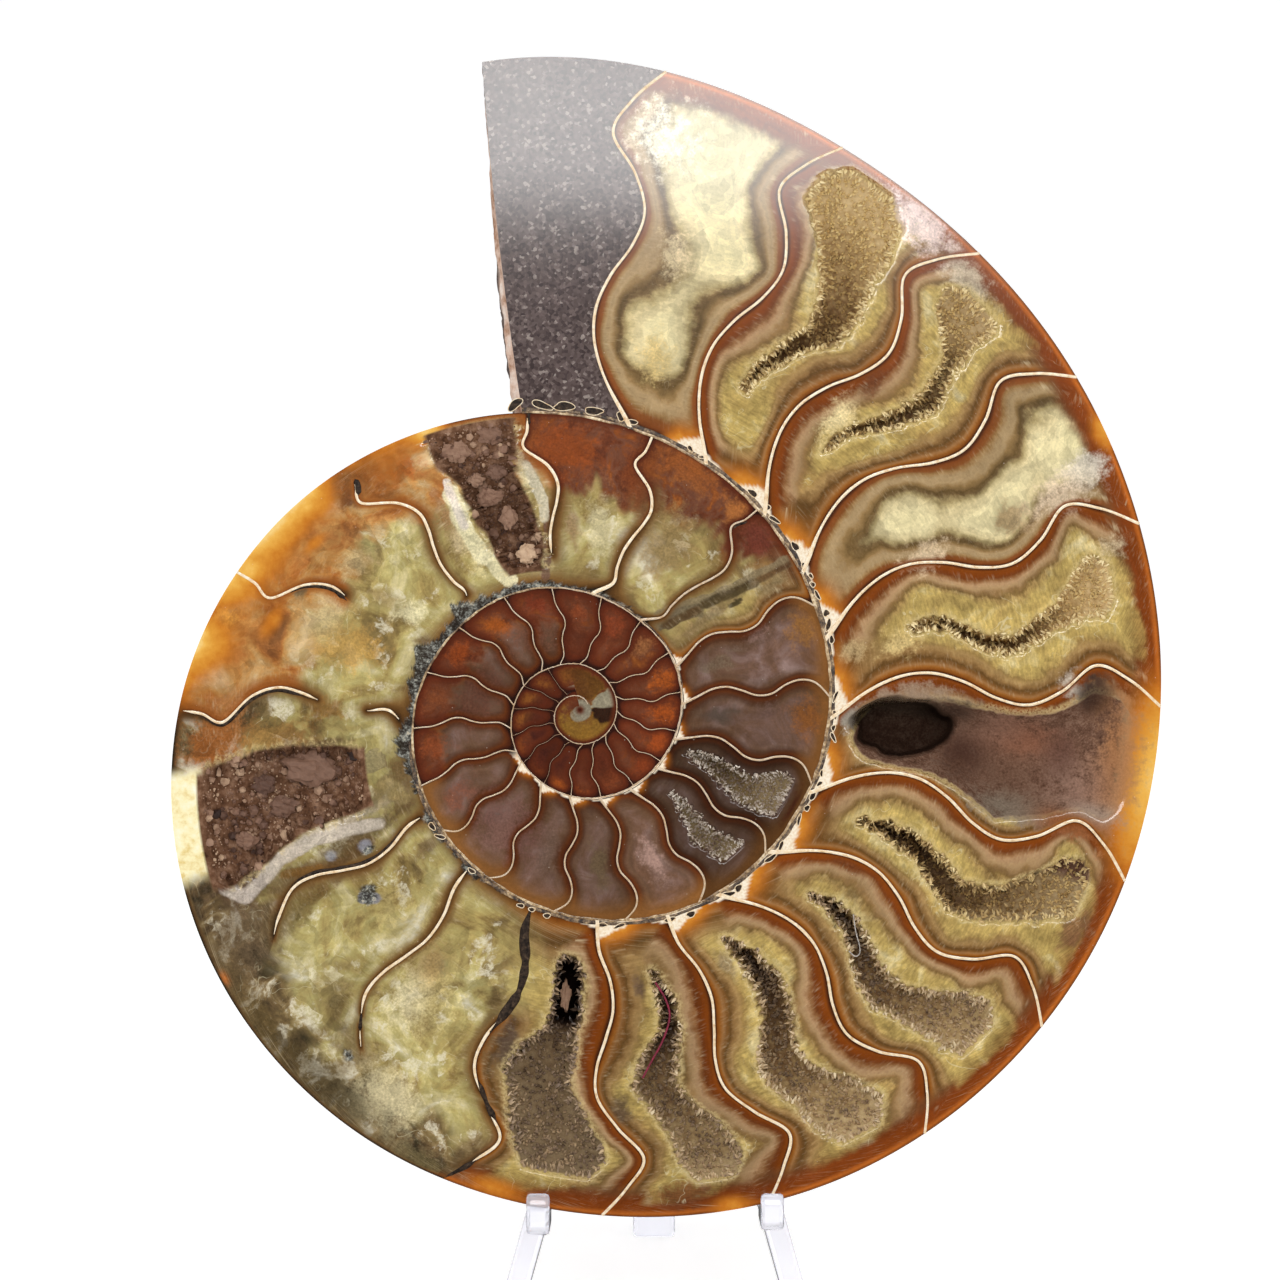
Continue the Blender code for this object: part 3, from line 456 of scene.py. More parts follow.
def padded(values):
    """Evenly spaced values with one more at each end, on the straight line of the last two."""
    values = np.asarray(values, float)
    return np.concatenate(([2 * values[0] - values[1]], values, [2 * values[-1] - values[-2]]))


def septum_angle(number, share):
    """Turn angle of a septum at a share of the way from the inner to the outer wall."""
    base, kind, strength = SEPTA[number]
    return base + strength * through(padded(SWINGS[kind]), np.asarray(share) * 10.0 + 1.0)


def kept_stretches(number):
    """First and last share of each stretch that is left of a septum: one whole stretch if it isn't broken."""
    return [(first, last) for broken, first, last in BROKEN_SEPTA if broken == number] or [(0.0, 1.0)]


def smoothstep(low, high, value):
    """0 below low, 1 above high, and a cubic between them."""
    part = np.clip((np.asarray(value, float) - low) / (high - low), 0.0, 1.0)
    return part * part * (3.0 - 2.0 * part)


def lattice(first, second, seed):
    """A repeatable value from 0 to 1 for each pair of whole numbers, by mixing their bits."""
    mixed = (first * 374761393 + second * 668265263 + seed * 974634777) & 0xFFFFFFFF
    mixed = ((mixed ^ (mixed >> 13)) * 1274126177) & 0xFFFFFFFF
    return ((mixed ^ (mixed >> 16)) & 0xFFFF) / 65535.0


def noise(x, y, seed):
    """Value noise from -1 to 1: random lattice values, blended by a cubic across each cell."""
    column, row = np.floor(x).astype(np.int64), np.floor(y).astype(np.int64)
    across, up = smoothstep(0.0, 1.0, x - column), smoothstep(0.0, 1.0, y - row)
    near = lattice(column, row, seed) * (1 - across) + lattice(column + 1, row, seed) * across
    far = lattice(column, row + 1, seed) * (1 - across) + lattice(column + 1, row + 1, seed) * across
    return 2.0 * (near * (1 - up) + far * up) - 1.0


# ---------------------------------------------------------------------------------------------------
# Meshes
# ---------------------------------------------------------------------------------------------------


def add_mesh(name, points, faces, surface, smooth=True, attributes=None, uv=None):
    """A mesh object at the origin. faces is an array of quads or triangles, or a list of both."""
    groups = faces if isinstance(faces, (list, tuple)) else [faces]
    groups = [np.asarray(group, dtype=np.int32) for group in groups if len(group)]
    sizes = np.concatenate([np.full(len(group), group.shape[1], dtype=np.int32) for group in groups])
    corners = np.concatenate([group.ravel() for group in groups])
    mesh = bpy.data.meshes.new(name)
    mesh.vertices.add(len(points))
    mesh.vertices.foreach_set("co", np.asarray(points, dtype=np.float32).ravel())
    mesh.loops.add(len(corners))
    mesh.loops.foreach_set("vertex_index", corners)
    mesh.polygons.add(len(sizes))
    starts = np.concatenate(([0], np.cumsum(sizes)[:-1])).astype(np.int32)
    mesh.polygons.foreach_set("loop_start", starts)
    mesh.update(calc_edges=True)
    mesh.polygons.foreach_set("use_smooth", np.full(len(sizes), smooth))
    for key, values in (attributes or {}).items():
        values = np.asarray(values, dtype=np.float32)
        kind = "FLOAT" if values.ndim == 1 else "FLOAT_COLOR"
        made = mesh.attributes.new(key, kind, "POINT")
        made.data.foreach_set("value" if values.ndim == 1 else "color", values.ravel())
    if uv is not None:
        layer = mesh.uv_layers.new(name="OFBake")
        layer.data.foreach_set("uv", np.asarray(uv, dtype=np.float32)[corners].ravel())
    mesh.materials.append(surface)
    mesh.validate()
    piece = bpy.data.objects.new(name, mesh)
    bpy.context.scene.collection.objects.link(piece)
    return piece


def grid_quads(columns, rows, wrap=False, around=False):
    """Corner numbers of the quads of a grid stored column by column, turned to face the front.

    wrap joins the last column to the first, and around joins the last row to the first.
    """
    column = np.arange(columns if wrap else columns - 1)[:, None]
    row = np.arange(rows if around else rows - 1)[None, :]
    after, beside = (column + 1) % columns, (row + 1) % rows
    corners = ((column, row), (after, row), (after, beside), (column, beside))
    quads = np.broadcast_arrays(*(across * rows + up for across, up in corners))
    return np.stack(quads, axis=-1).reshape(-1, 4)


def joined(parts):
    """Points and face groups of one mesh out of many parts, each given as its points and face groups."""
    points, groups, base = [], {}, 0
    for part, faces in parts:
        for group in faces:
            groups.setdefault(group.shape[1], []).append(group + base)
        points.append(part)
        base += len(part)
    return np.concatenate(points), [np.concatenate(group) for group in groups.values()]


def end_caps(columns, rows):
    """The two faces that close the ends of a grid whose rows run round."""
    ring = np.arange(rows)
    return np.stack((ring[::-1], (columns - 1) * rows + ring))


def station(stations, share):
    """Turn angle, half width and depth of a hollow at shares of the way out, by smooth blending."""
    table = np.array(stations)
    return [np.interp(share, table[:, 1], table[:, column]) for column in (0, 2, 3)]


# ---------------------------------------------------------------------------------------------------
# The cut face
# ---------------------------------------------------------------------------------------------------


def septum_gap(number, share):
    """How far each share is from what is left of a septum, in shares: 0 where the septum is whole."""
    share = np.asarray(share, float)
    if number in ABSENT_SEPTA:
        return np.full_like(share, 2.0)
    gaps = [np.maximum(first - share, share - last) for first, last in kept_stretches(number)]
    return np.maximum(np.min(gaps, axis=0), 0.0)


def face_grid(first, last, spacing, rows):
    """Columns of the spiral face between two septa, each column a blend of its chamber's two septa."""
    share = np.linspace(0.0, 1.0, rows)
    columns = []
    for number in range(first, last):
        near, far = septum_angle(number, share), septum_angle(number + 1, share)
        width = np.radians(far - near) * coil_radius(near, share)
        count = max(6, int(round(width.max() / spacing)))
        for step in range(count + (number == last - 1)):
            columns.append((number, step / count))
    chamber = np.array([column[0] for column in columns])
    part = np.array([column[1] for column in columns])[:, None]
    near = np.stack([septum_angle(number, share) for number in chamber])
    far = np.stack([septum_angle(number + 1, share) for number in chamber])
    turn = near + (far - near) * part
    share = np.broadcast_to(share, turn.shape)
    return {
        "chamber": chamber, "part": part, "share": share, "turn": turn,
        "radius": coil_radius(turn, share), "wide": np.radians(far - near),
    }


def gaps_beside(grid, step):
    """The gap to the septum before each chamber of a grid where step is 0, and after it where it is 1."""
    return np.stack([septum_gap(number + step, grid["share"][0]) for number in grid["chamber"]])


def nearest_edge(grid, softness=0.45):
    """Distance in mm from the nearest septum or wall, by a soft minimum, and a place along that edge."""
    turn, radius, share, part = (grid[key] for key in ("turn", "radius", "share", "part"))
    tall = wall_radius(turn) - inner_radius(turn)
    slant = radius * np.radians(np.gradient(turn, axis=1)) / np.gradient(radius, axis=1)
    straight = grid["wide"] * radius / np.sqrt(1.0 + slant**2)
    near = np.hypot(part * straight, tall * gaps_beside(grid, 0))
    far = np.hypot((1.0 - part) * straight, tall * gaps_beside(grid, 1))
    low, high = share * tall, (1.0 - share) * tall
    outer_whorl = smoothstep(40.0, 20.0, turn - 360.0)
    sides = (near * 0.9, far * 1.12, low * (1.0 - 0.4 * outer_whorl), high * (1.0 + 0.8 * outer_whorl))
    edge = -softness * np.log(np.exp(-np.stack(sides) / softness).sum(axis=0))
    septum = np.minimum(near, far)
    along = np.where(septum < np.minimum(low, high), radius, np.radians(turn) * radius)
    return {"edge": edge, "near": near, "far": far, "low": low, "high": high, "along": along}


def pit_depth(turn, radius, share, tall, ragged):
    """Depth of the dark pit at the inner end of the open hollow: an ellipse with an uneven outline."""
    middle, height, half_width, half_height, depth = PIT
    across = np.radians(turn - middle) * np.maximum(radius, LEAST_RADIUS) / half_width
    out = np.hypot(across, (share - height) * tall / half_height)
    out = out + 0.05 * np.sin(np.radians(turn) * 60.0 + share * 40.0) + 0.06 * ragged
    return depth * smoothstep(1.06, 0.74, out)


def hollow_depth(turn, radius, share, reach=2.5):
    """Depth of the hollows in mm, and how far outside the nearest hollow's rim each point is."""
    depth = np.zeros_like(turn)
    outside = np.full_like(turn, reach)
    tall = wall_radius(turn) - inner_radius(turn)
    ragged = 0.34 * noise(turn * radius / 42.0, share * tall / 0.75, 3)
    ragged += 0.20 * noise(turn * radius / 20.0, share * tall / 0.34, 4)
    for name, stations in HOLLOWS.items():
        centre, half, deep = station(stations, share)
        across = np.radians(turn - centre) * np.maximum(radius, LEAST_RADIUS)
        rough, corner = HOLLOW_EDGES[name.split("_")[0]]
        width = np.maximum(half + ragged * rough, 0.15)
        below = (stations[0][1] - share) * tall
        above = (share - stations[-1][1]) * tall
        end = np.maximum(below, above)
        side = np.abs(across) - width
        beyond = np.hypot(np.maximum(side + corner, 0.0), np.maximum(end + corner, 0.0))
        gap = beyond + np.minimum(np.maximum(side, end) + corner, 0.0) - corner
        if name == "open_6":
            shape = smoothstep(0.2, -3.4, gap) ** 0.55
            depth = np.maximum(depth, pit_depth(turn, radius, share, tall, ragged))
        else:
            bowl = np.clip(1.0 - (across / width) ** 2, 0.0, 1.0) ** 0.25
            shape = bowl * np.clip(-gap / 0.9, 0.0, 1.0) ** 0.5
        depth = np.maximum(depth, deep * shape)
        outside = np.minimum(outside, gap)
    return depth, outside


def chamber_table(chambers, column):
    """One column of FILLINGS for each of an array of chamber numbers, as an upright array."""
    return np.array([FILLINGS[number][column] for number in chambers])[:, None]


def open_ways(grid, reach=3.5):
    """Shares of the chambers before and after at each point: up to a half where no septum stands."""
    ways = []
    for step, part in ((0, grid["part"]), (1, 1.0 - grid["part"])):
        missing = smoothstep(0.0, 0.08, gaps_beside(grid, step))
        ways.append(0.5 * missing * smoothstep(reach, 0.0, part * grid["wide"] * grid["radius"]))
    return ways


def blended(grid, ways, value_of):
    """A value of each chamber, blended with its neighbours' where the septum between them is missing."""
    chamber = grid["chamber"]
    here, before, after = (value_of(np.clip(chamber + step, 0, len(SEPTA))) for step in (0, -1, 1))
    return here * (1.0 - ways[0] - ways[1]) + before * ways[0] + after * ways[1]


def fillings(grid, ways):
    """How much of each filling there is at each point: its chamber's lower or upper one, blended."""
    turn, share = grid["turn"], grid["share"]
    wavy = 0.07 * noise(turn / 4.0, share * 6.0, 8) + 0.05 * noise(turn / 1.3, share * 18.0, 9)

    def amount_of(kind):
        def value_of(chamber):
            upper = smoothstep(-0.07, 0.07, share - chamber_table(chamber, 2) + wavy)
            below, above = (chamber_table(chamber, column) == kind for column in (0, 1))
            return below * (1.0 - upper) + above * upper
        return value_of

    return {kind: blended(grid, ways, amount_of(kind)) for kind in FILLING_KINDS}


def bump_at(grid, turn, share, wide, tall):
    """A soft spot: 1 at a turn angle and share, falling away over a breadth in degrees and a height."""
    return np.exp(-(((grid["turn"] - turn) / wide) ** 2) - ((grid["share"] - share) / tall) ** 2)


def from_line(grid, points):
    """Distance in mm of each point of the face from a broken line, or from a single point."""
    across, up = flat_place(grid["turn"], grid["radius"])
    gaps = []
    for first, last in zip(points, points[1:] or points):
        run, rise = last[0] - first[0], last[1] - first[1]
        part = ((across - first[0]) * run + (up - first[1]) * rise) / max(run * run + rise * rise, 1e-9)
        part = np.clip(part, 0.0, 1.0)
        gaps.append(np.hypot(across - first[0] - part * run, up - first[1] - part * rise))
    return np.min(gaps, axis=0)


def stains(grid):
    """Colour of the stains and of the painted glare and shade among them at each point, and how strongly they
    cover it. The later ones lie on top.
    """
    turn, share = grid["turn"], grid["share"]
    layers = []
    for angle, place, wide, tall, tone, strength in STAINS_AND_PAINTED_LIGHT:
        weight = strength * bump_at(grid, angle, place, wide, tall)
        if strength >= 1.0:
            weight = weight + 0.16 * noise(turn / wide * 3.0, share / tall * 3.0, 17)
            weight = smoothstep(0.4, 0.56, weight)
        layers.append((weight, tone))
    for half, tone, points in STREAKS:
        uneven = half * (1.0 + 0.35 * noise(turn / 1.7, share * 16.0, 19))
        layers.append((smoothstep(0.28, -0.12, from_line(grid, points) - uneven), tone))
    colour = np.zeros((*turn.shape, 4))
    cover = np.zeros_like(turn)
    for weight, tone in layers:
        colour = colour * (1.0 - weight[..., None]) + weight[..., None] * np.array(linear(tone))
        cover = cover * (1.0 - weight) + weight
    return (colour / np.maximum(cover, 1e-4)[..., None]).reshape(-1, 4), cover


def arc(turn, first, full, fading, last):
    """1 between the turn angles full and fading, and 0 before first and after last."""
    return smoothstep(first, full, turn) * smoothstep(last, fading, turn)


def feet_of_septa(grid, sides):
    """Porcelain wedges where the septa meet the inner wall, and the glow beside them."""
    turn, share = grid["turn"], grid["share"]
    porcelain, glow = np.zeros_like(turn), np.zeros_like(turn)
    for first, last, size in FOOT_STRETCHES:
        stretch = arc(turn, first, first + 8.0, last - 10.0, last)
        low, far, near = (sides[key] / size for key in ("low", "far", "near"))
        ragged = 0.1 * noise(turn * 0.7, share * 18, 21)
        wedge = np.maximum(1.0 - low / 2.3 - far / 4.6, 1.0 - low / 1.1 - near / 3.8)
        porcelain = np.maximum(porcelain, smoothstep(-0.03, 0.07, wedge + ragged) * stretch)
        foot = np.exp(-low / 2.4) * smoothstep(8.0, 1.0, far) * stretch
        glow = np.maximum(glow, foot * (0.55 + 0.4 * size))
    return porcelain, glow


def rim_glow(grid, sides):
    """Light that shines through at the rim: along the golden stretch, and in a few soft spots."""
    turn, share = grid["turn"], grid["share"]
    golden = arc(turn, *GOLDEN_ARC) * (1.0 - 0.8 * bump_at(grid, *DARKER_RIM))
    uneven = 0.75 + 0.35 * noise(turn / 5.0, share * 4.0, 14)
    spots = [bright * bump_at(grid, *place) for *place, bright in GLOW_SPOTS]
    return np.max([golden * np.exp(-sides["high"] / 3.6) * uneven, *spots], axis=0)


def metal_mask(grid, sides):
    """Dark metallic mineral: an uneven strip along the inner wall, and a few spots."""
    turn, share = grid["turn"], grid["share"]
    strip = np.interp(turn, *np.array(METAL_STRIP).T) * (1.0 + 0.5 * noise(turn / 2.1, share * 9.0, 13))
    metal = smoothstep(0.12, -0.12, sides["low"] - strip + 0.3 * noise(turn * 1.3, share * 30.0, 15))
    for place in METAL_SPOTS:
        spot = bump_at(grid, *place) + 0.3 * noise(turn * 1.1, share * 22, 12)
        metal = np.maximum(metal, smoothstep(0.45, 0.7, spot))
    return metal


def rubble_mask(grid):
    """Where the two earthy hollows are, with a ragged outline."""
    turn, share = grid["turn"], grid["share"]
    rubble = np.zeros_like(turn)
    for name in ("rubble_14", "rubble_17"):
        centre, half, _ = station(HOLLOWS[name], share)
        across = np.abs(np.radians(turn - centre) * grid["radius"])
        inside = (share > HOLLOWS[name][0][1] - 0.02) & (share < HOLLOWS[name][-1][1] + 0.02)
        ragged = 0.35 * noise(turn / 1.3, share * 14.0, 18)
        rubble = np.maximum(rubble, smoothstep(half + 0.45, half - 0.05, across + ragged) * inside)
    return rubble


def face_marks(grid, sides):
    """Masks of the marks that lie over the fillings, by name."""
    turn, share = grid["turn"], grid["share"]
    porcelain, glow = feet_of_septa(grid, sides)
    block = smoothstep(0.855, 0.885, share + 0.015 * noise(turn / 1.6, share * 12, 5))
    return {
        "porcelain": porcelain, "glow": np.maximum(glow, rim_glow(grid, sides)),
        "block": arc(turn, *BLOCK_ARC) * block, "metal": metal_mask(grid, sides), "rubble": rubble_mask(grid),
    }


# ---------------------------------------------------------------------------------------------------
# Node trees
# ---------------------------------------------------------------------------------------------------


def linear(colour):
    """A colour given as red, green and blue from 0 to 255, as the renderer's linear values."""
    part = np.asarray(colour, float) / 255.0
    level = np.where(part <= 0.04045, part / 12.92, ((part + 0.055) / 1.055) ** 2.4)
    return (*(float(value) for value in level), 1.0)


class Signal:
    """A number in a node tree that takes plain arithmetic. Each operation adds a Math node."""

    def __init__(self, tree, socket):
        self.tree, self.socket = tree, socket

    def __add__(self, other):
        return self.tree.math("ADD", self, other)

    def __sub__(self, other):
        return self.tree.math("SUBTRACT", self, other)

    def __rsub__(self, other):
        return self.tree.math("SUBTRACT", other, self)

    def __mul__(self, other):
        return self.tree.math("MULTIPLY", self, other)

    def __truediv__(self, other):
        return self.tree.math("DIVIDE", self, other)

    __radd__, __rmul__ = __add__, __mul__

    def step(self, low, high, bottom=0.0, top=1.0):
        """A smooth step from bottom at low to top at high."""
        inputs = {"Value": self, "From Min": low, "From Max": high, "To Min": bottom, "To Max": top}
        return self.tree.signal("MapRange", inputs, interpolation_type="SMOOTHSTEP")


class Tree:
    """Short calls that add nodes to a tree. A socket or signal given as an input is linked."""

    def __init__(self, tree):
        self.tree = tree

    def node(self, kind, inputs=None, **settings):
        """A new shader node with its settings and inputs."""
        made = self.tree.nodes.new("ShaderNode" + kind)
        for key, value in settings.items():
            setattr(made, key, value)
        for key, value in (inputs or {}).items():
            self.put(made.inputs[key], value)
        return made

    def signal(self, kind, inputs=None, output=0, **settings):
        """One output of a new shader node, as a number."""
        return Signal(self, self.node(kind, inputs, **settings).outputs[output])

    def put(self, socket, value):
        """Links or sets an input. A colour may be red, green and blue from 0 to 255."""
        value = value.socket if isinstance(value, Signal) else value
        if isinstance(value, bpy.types.NodeSocket):
            self.tree.links.new(value, socket)
        elif socket.type == "RGBA" and len(value) == 3:
            socket.default_value = linear(value)
        else:
            socket.default_value = value

    def math(self, operation, *values, clamp=False):
        return self.signal("Math", dict(enumerate(values)), operation=operation, use_clamp=clamp)

    def rest(self, value):
        """What a value leaves of 1, and never less than 0."""
        return self.math("SUBTRACT", 1.0, value, clamp=True)

    def mix(self, factor, first, second):
        inputs = {0: factor, 6: first, 7: second}
        return self.node("Mix", inputs, data_type="RGBA", clamp_factor=True).outputs[2]

    def shade(self, colour, level):
        """A colour made lighter or darker by a factor."""
        return self.node("VectorMath", {0: colour, 3: level}, operation="SCALE").outputs[0]

    def ramp(self, value, stops, reach=1.0):
        """A colour ramp whose stops are (place, colour), with places from 0 to reach."""
        made = self.node("ValToRGB", {0: value / reach})
        elements = made.color_ramp.elements
        elements[0].position, elements[0].color = stops[0][0] / reach, linear(stops[0][1])
        elements[1].position, elements[1].color = stops[-1][0] / reach, linear(stops[-1][1])
        for place, colour in stops[1:-1]:
            elements.new(place / reach).color = linear(colour)
        return made.outputs[0]

    def noise(self, vector, scale, detail=2.0, roughness=0.5, distortion=0.0):
        inputs = {"Vector": vector, "Scale": scale, "Detail": detail, "Roughness": roughness}
        return self.signal("TexNoise", {**inputs, "Distortion": distortion})

    def cells(self, vector, scale):
        """Distance from the middle of the nearest of many random cells."""
        return self.signal("TexVoronoi", {"Vector": vector, "Scale": scale}, "Distance")

    def cell_values(self, vector, scale):
        """A random value for each of the same cells."""
        chosen = self.node("TexVoronoi", {"Vector": vector, "Scale": scale}).outputs["Color"]
        return self.signal("SeparateColor", {0: chosen})

    def carried(self, name):
        """A number that the mesh carries at its points."""
        return self.signal("Attribute", None, "Fac", attribute_name=name)

    def in_mm(self):
        """Object coordinates in millimetres."""
        return self.shade(self.node("TexCoord").outputs["Object"], 1.0 / MM)

    def vector(self, x, y, z=0.0):
        return self.node("CombineXYZ", {0: x, 1: y, 2: z}).outputs[0]

    def bump(self, shader, height, strength, distance):
        """Bumps a shader's surface by a height, with a distance in mm."""
        made = self.node("Bump", {"Height": height, "Strength": strength, "Distance": distance * MM})
        self.put(shader.inputs["Normal"], made.outputs[0])


def new_group(name, inputs, outputs):
    """A shader node group that puts out numbers. Returns its tree, its inputs and its output sockets."""
    group = bpy.data.node_groups.new(name, "ShaderNodeTree")
    for title, kind in inputs:
        group.interface.new_socket(name=title, in_out="INPUT", socket_type="NodeSocket" + kind)
    for title in outputs:
        group.interface.new_socket(name=title, in_out="OUTPUT", socket_type="NodeSocketFloat")
    tree = Tree(group)
    entry, leave = (group.nodes.new("NodeGroup" + end) for end in ("Input", "Output"))
    return tree, [Signal(tree, entry.outputs[title]) for title, _ in inputs], leave.inputs


def place_group(tree, name, inputs):
    """Puts a shader node group in a tree and returns its outputs in order."""
    made = tree.node("Group", inputs, node_tree=bpy.data.node_groups[name])
    return [Signal(tree, socket) for socket in made.outputs]


def new_material(name, values=()):
    """A material with one Principled shader, with its inputs set. Returns it, its tree and its shader."""
    made = bpy.data.materials.new(name)
    made.use_nodes = True
    tree, shader = Tree(made.node_tree), made.node_tree.nodes["Principled BSDF"]
    for key, value in dict(values).items():
        tree.put(shader.inputs[key], value)
    return made, tree, shader


def make_fibres_group():
    """Fine calcite fibres that stand on an edge: noise stretched away from it, strongest near it."""
    tree, (edge, along), leave = new_group(
        "calcite_fibres", (("Edge", "Float"), ("Along", "Float")), ("Fibres", "Rays")
    )
    tree.put(leave["Fibres"], tree.noise(tree.vector(along * 3.0, edge), 1.0, 3.0, 0.6))
    tufts = tree.noise(tree.vector(along * 0.45, edge * 0.2, 7.0), 1.0, 2.0, 0.6)
    reach = tufts * 9.0 - 3.1
    hairs = tree.noise(tree.vector(along * 2.4, edge * 0.35, 3.0), 1.0, 2.0, 0.6)
    tree.put(leave["Rays"], hairs.step(0.5, 0.72) * edge.step(reach, reach - 1.0))


def make_flecks_group():
    """Sparse bright chips left by the polishing: cells whose random value is high get a small spot."""
    tree, (place, amount), leave = new_group(
        "polishing_flecks", (("Place", "Vector"), ("Amount", "Float")), ("Flecks",)
    )
    size = (tree.cell_values(place, 1.3) - (1.0 - amount)) * 0.42
    spot = tree.cells(place, 1.3).step(tree.math("MAXIMUM", size, 0.001), 0.0)
    tree.put(leave["Flecks"], spot * tree.math("GREATER_THAN", size, 0.0))


# Bands of each filling from the nearest edge inwards: (distance in mm, colour from 0 to 255).
BANDS = {
    "honey_far": (
        (0, (40, 20, 8)), (0.2, (70, 34, 10)), (0.36, (128, 70, 18)), (0.6, (148, 92, 36)),
        (0.85, (150, 106, 62)), (1.15, (120, 80, 38)), (1.5, (98, 68, 32)), (1.9, (134, 100, 58)),
        (2.4, (158, 126, 78)), (2.75, (148, 118, 68)), (3.2, (174, 146, 86)), (4.2, (192, 166, 98)),
        (5.4, (182, 156, 90)), (8, (188, 162, 98)),
    ),
    "honey": (
        (0, (34, 16, 6)), (0.2, (70, 32, 8)), (0.4, (126, 62, 12)), (0.75, (122, 58, 12)),
        (1.1, (112, 58, 22)), (1.4, (140, 96, 58)), (1.75, (172, 136, 98)), (2.1, (166, 134, 94)),
        (2.45, (138, 106, 66)), (2.75, (118, 90, 50)), (3.05, (154, 124, 76)), (3.6, (178, 152, 90)),
        (4.4, (192, 166, 100)), (5.6, (182, 156, 88)), (8, (190, 164, 98)),
    ),
    "banded": (
        (0, (46, 22, 9)), (0.24, (70, 34, 14)), (0.45, (118, 62, 24)), (0.75, (124, 72, 32)),
        (1, (140, 106, 64)), (1.4, (158, 132, 94)), (1.9, (160, 134, 96)), (2.3, (134, 106, 66)),
        (2.75, (96, 74, 42)), (3.1, (108, 86, 54)), (3.6, (160, 142, 98)), (4.3, (196, 180, 136)),
        (5.4, (214, 200, 154)), (8, (206, 194, 148)),
    ),
    "jade": (
        (0, (30, 22, 12)), (0.25, (86, 56, 24)), (0.6, (116, 82, 42)), (1.1, (122, 96, 58)),
        (1.8, (146, 130, 86)), (3, (164, 148, 98)), (5, (184, 170, 118)), (8, (180, 172, 128)),
    ),
    "weathered": (
        (0, (22, 18, 12)), (0.3, (70, 50, 28)), (0.8, (104, 76, 44)), (1.6, (98, 84, 52)),
        (3, (122, 104, 66)), (8, (150, 132, 88)),
    ),
    "amber": (
        (0, (70, 34, 14)), (0.3, (132, 72, 26)), (1, (158, 94, 40)), (2.2, (178, 122, 60)),
        (4, (182, 134, 76)), (8, (182, 148, 94)),
    ),
    "mauve": (
        (0, (34, 14, 7)), (0.22, (74, 32, 12)), (0.45, (92, 46, 18)), (0.8, (82, 50, 30)),
        (1.3, (100, 74, 54)), (2, (110, 84, 66)), (3.2, (116, 90, 74)), (8, (108, 82, 64)),
    ),
    "russet": (
        (0, (42, 16, 9)), (0.18, (76, 31, 15)), (0.45, (90, 38, 18)), (0.9, (95, 46, 26)),
        (1.6, (99, 56, 36)), (3, (104, 66, 48)), (8, (108, 72, 56)),
    ),
    "mud": ((0, (70, 56, 52)), (0.5, (84, 70, 66)), (3, (92, 78, 76)), (8, (98, 86, 84))),
}
BAND_REACH = 8.0
# Cloudy colours over the bands: (size of the clouds, how much, stops over a noise value).
CLOUDS = {
    "jade": (0.17, 0.85, (
        (0.34, (92, 70, 38)), (0.42, (132, 108, 60)), (0.48, (168, 148, 88)), (0.54, (180, 166, 104)),
        (0.61, (206, 192, 142)), (0.68, (234, 226, 198)),
    )),
    "weathered": (0.3, 0.9, (
        (0.36, (34, 27, 19)), (0.44, (74, 56, 38)), (0.51, (108, 86, 56)), (0.57, (146, 124, 86)),
        (0.66, (208, 198, 178)),
    )),
    "amber": (0.2, 0.75, (
        (0.34, (116, 54, 22)), (0.43, (160, 92, 40)), (0.51, (184, 132, 72)), (0.59, (188, 154, 104)),
        (0.68, (214, 190, 148)),
    )),
    "honey": (0.3, 0.6, (
        (0.28, (112, 86, 44)), (0.42, (162, 136, 76)), (0.54, (188, 162, 92)), (0.66, (216, 200, 150)),
        (0.78, (236, 226, 192)),
    )),
    "mauve": (0.26, 0.55, (
        (0.34, (82, 50, 30)), (0.44, (98, 68, 52)), (0.54, (116, 88, 80)), (0.68, (154, 130, 126)),
    )),
    "russet": (0.36, 0.7, (
        (0.34, (76, 30, 14)), (0.44, (106, 48, 18)), (0.52, (112, 68, 48)), (0.6, (132, 66, 22)),
        (0.7, (180, 102, 34)),
    )),
}
# Colours of the marks and surfaces, as stops over a value: (place, colour).
RIM_TONES = (
    (0, (96, 54, 22)), (0.35, (186, 100, 34)), (0.8, (132, 62, 14)), (1.8, (120, 56, 16)),
    (2.8, (112, 70, 38)), (4, (136, 104, 66)),
)
DRUSE_TONES = (
    (0, (46, 30, 17)), (0.2, (104, 75, 43)), (0.45, (168, 135, 86)), (0.66, (204, 174, 118)),
    (0.85, (226, 200, 140)), (1, (234, 212, 158)),
)
DULL_DRUSE_TONES = (
    (0, (44, 30, 22)), (0.2, (90, 70, 54)), (0.45, (144, 121, 100)), (0.66, (178, 151, 118)),
    (0.85, (206, 178, 138)), (1, (222, 202, 164)),
)
SILVER_DRUSE_TONES = (
    (0, (30, 18, 13)), (0.25, (66, 46, 34)), (0.45, (106, 84, 68)), (0.62, (140, 117, 100)),
    (0.8, (180, 162, 144)), (1, (220, 208, 194)),
)
RUBBLE_TONES = (
    (0, (52, 32, 25)), (0.3, (98, 68, 53)), (0.55, (138, 103, 82)), (0.75, (168, 134, 108)),
    (1, (204, 172, 140)),
)
GLOW_TONES = (
    (0.1, (144, 76, 18)), (0.4, (196, 116, 32)), (0.65, (218, 150, 54)), (0.85, (234, 178, 80)),
    (1, (242, 204, 124)),
)
BLOCK_TONES = ((0.3, (230, 204, 134)), (0.5, (250, 238, 188)), (0.75, (255, 250, 226)))
PORCELAIN_FOOT_TONES = ((0.3, (232, 206, 170)), (0.6, (250, 238, 216)))
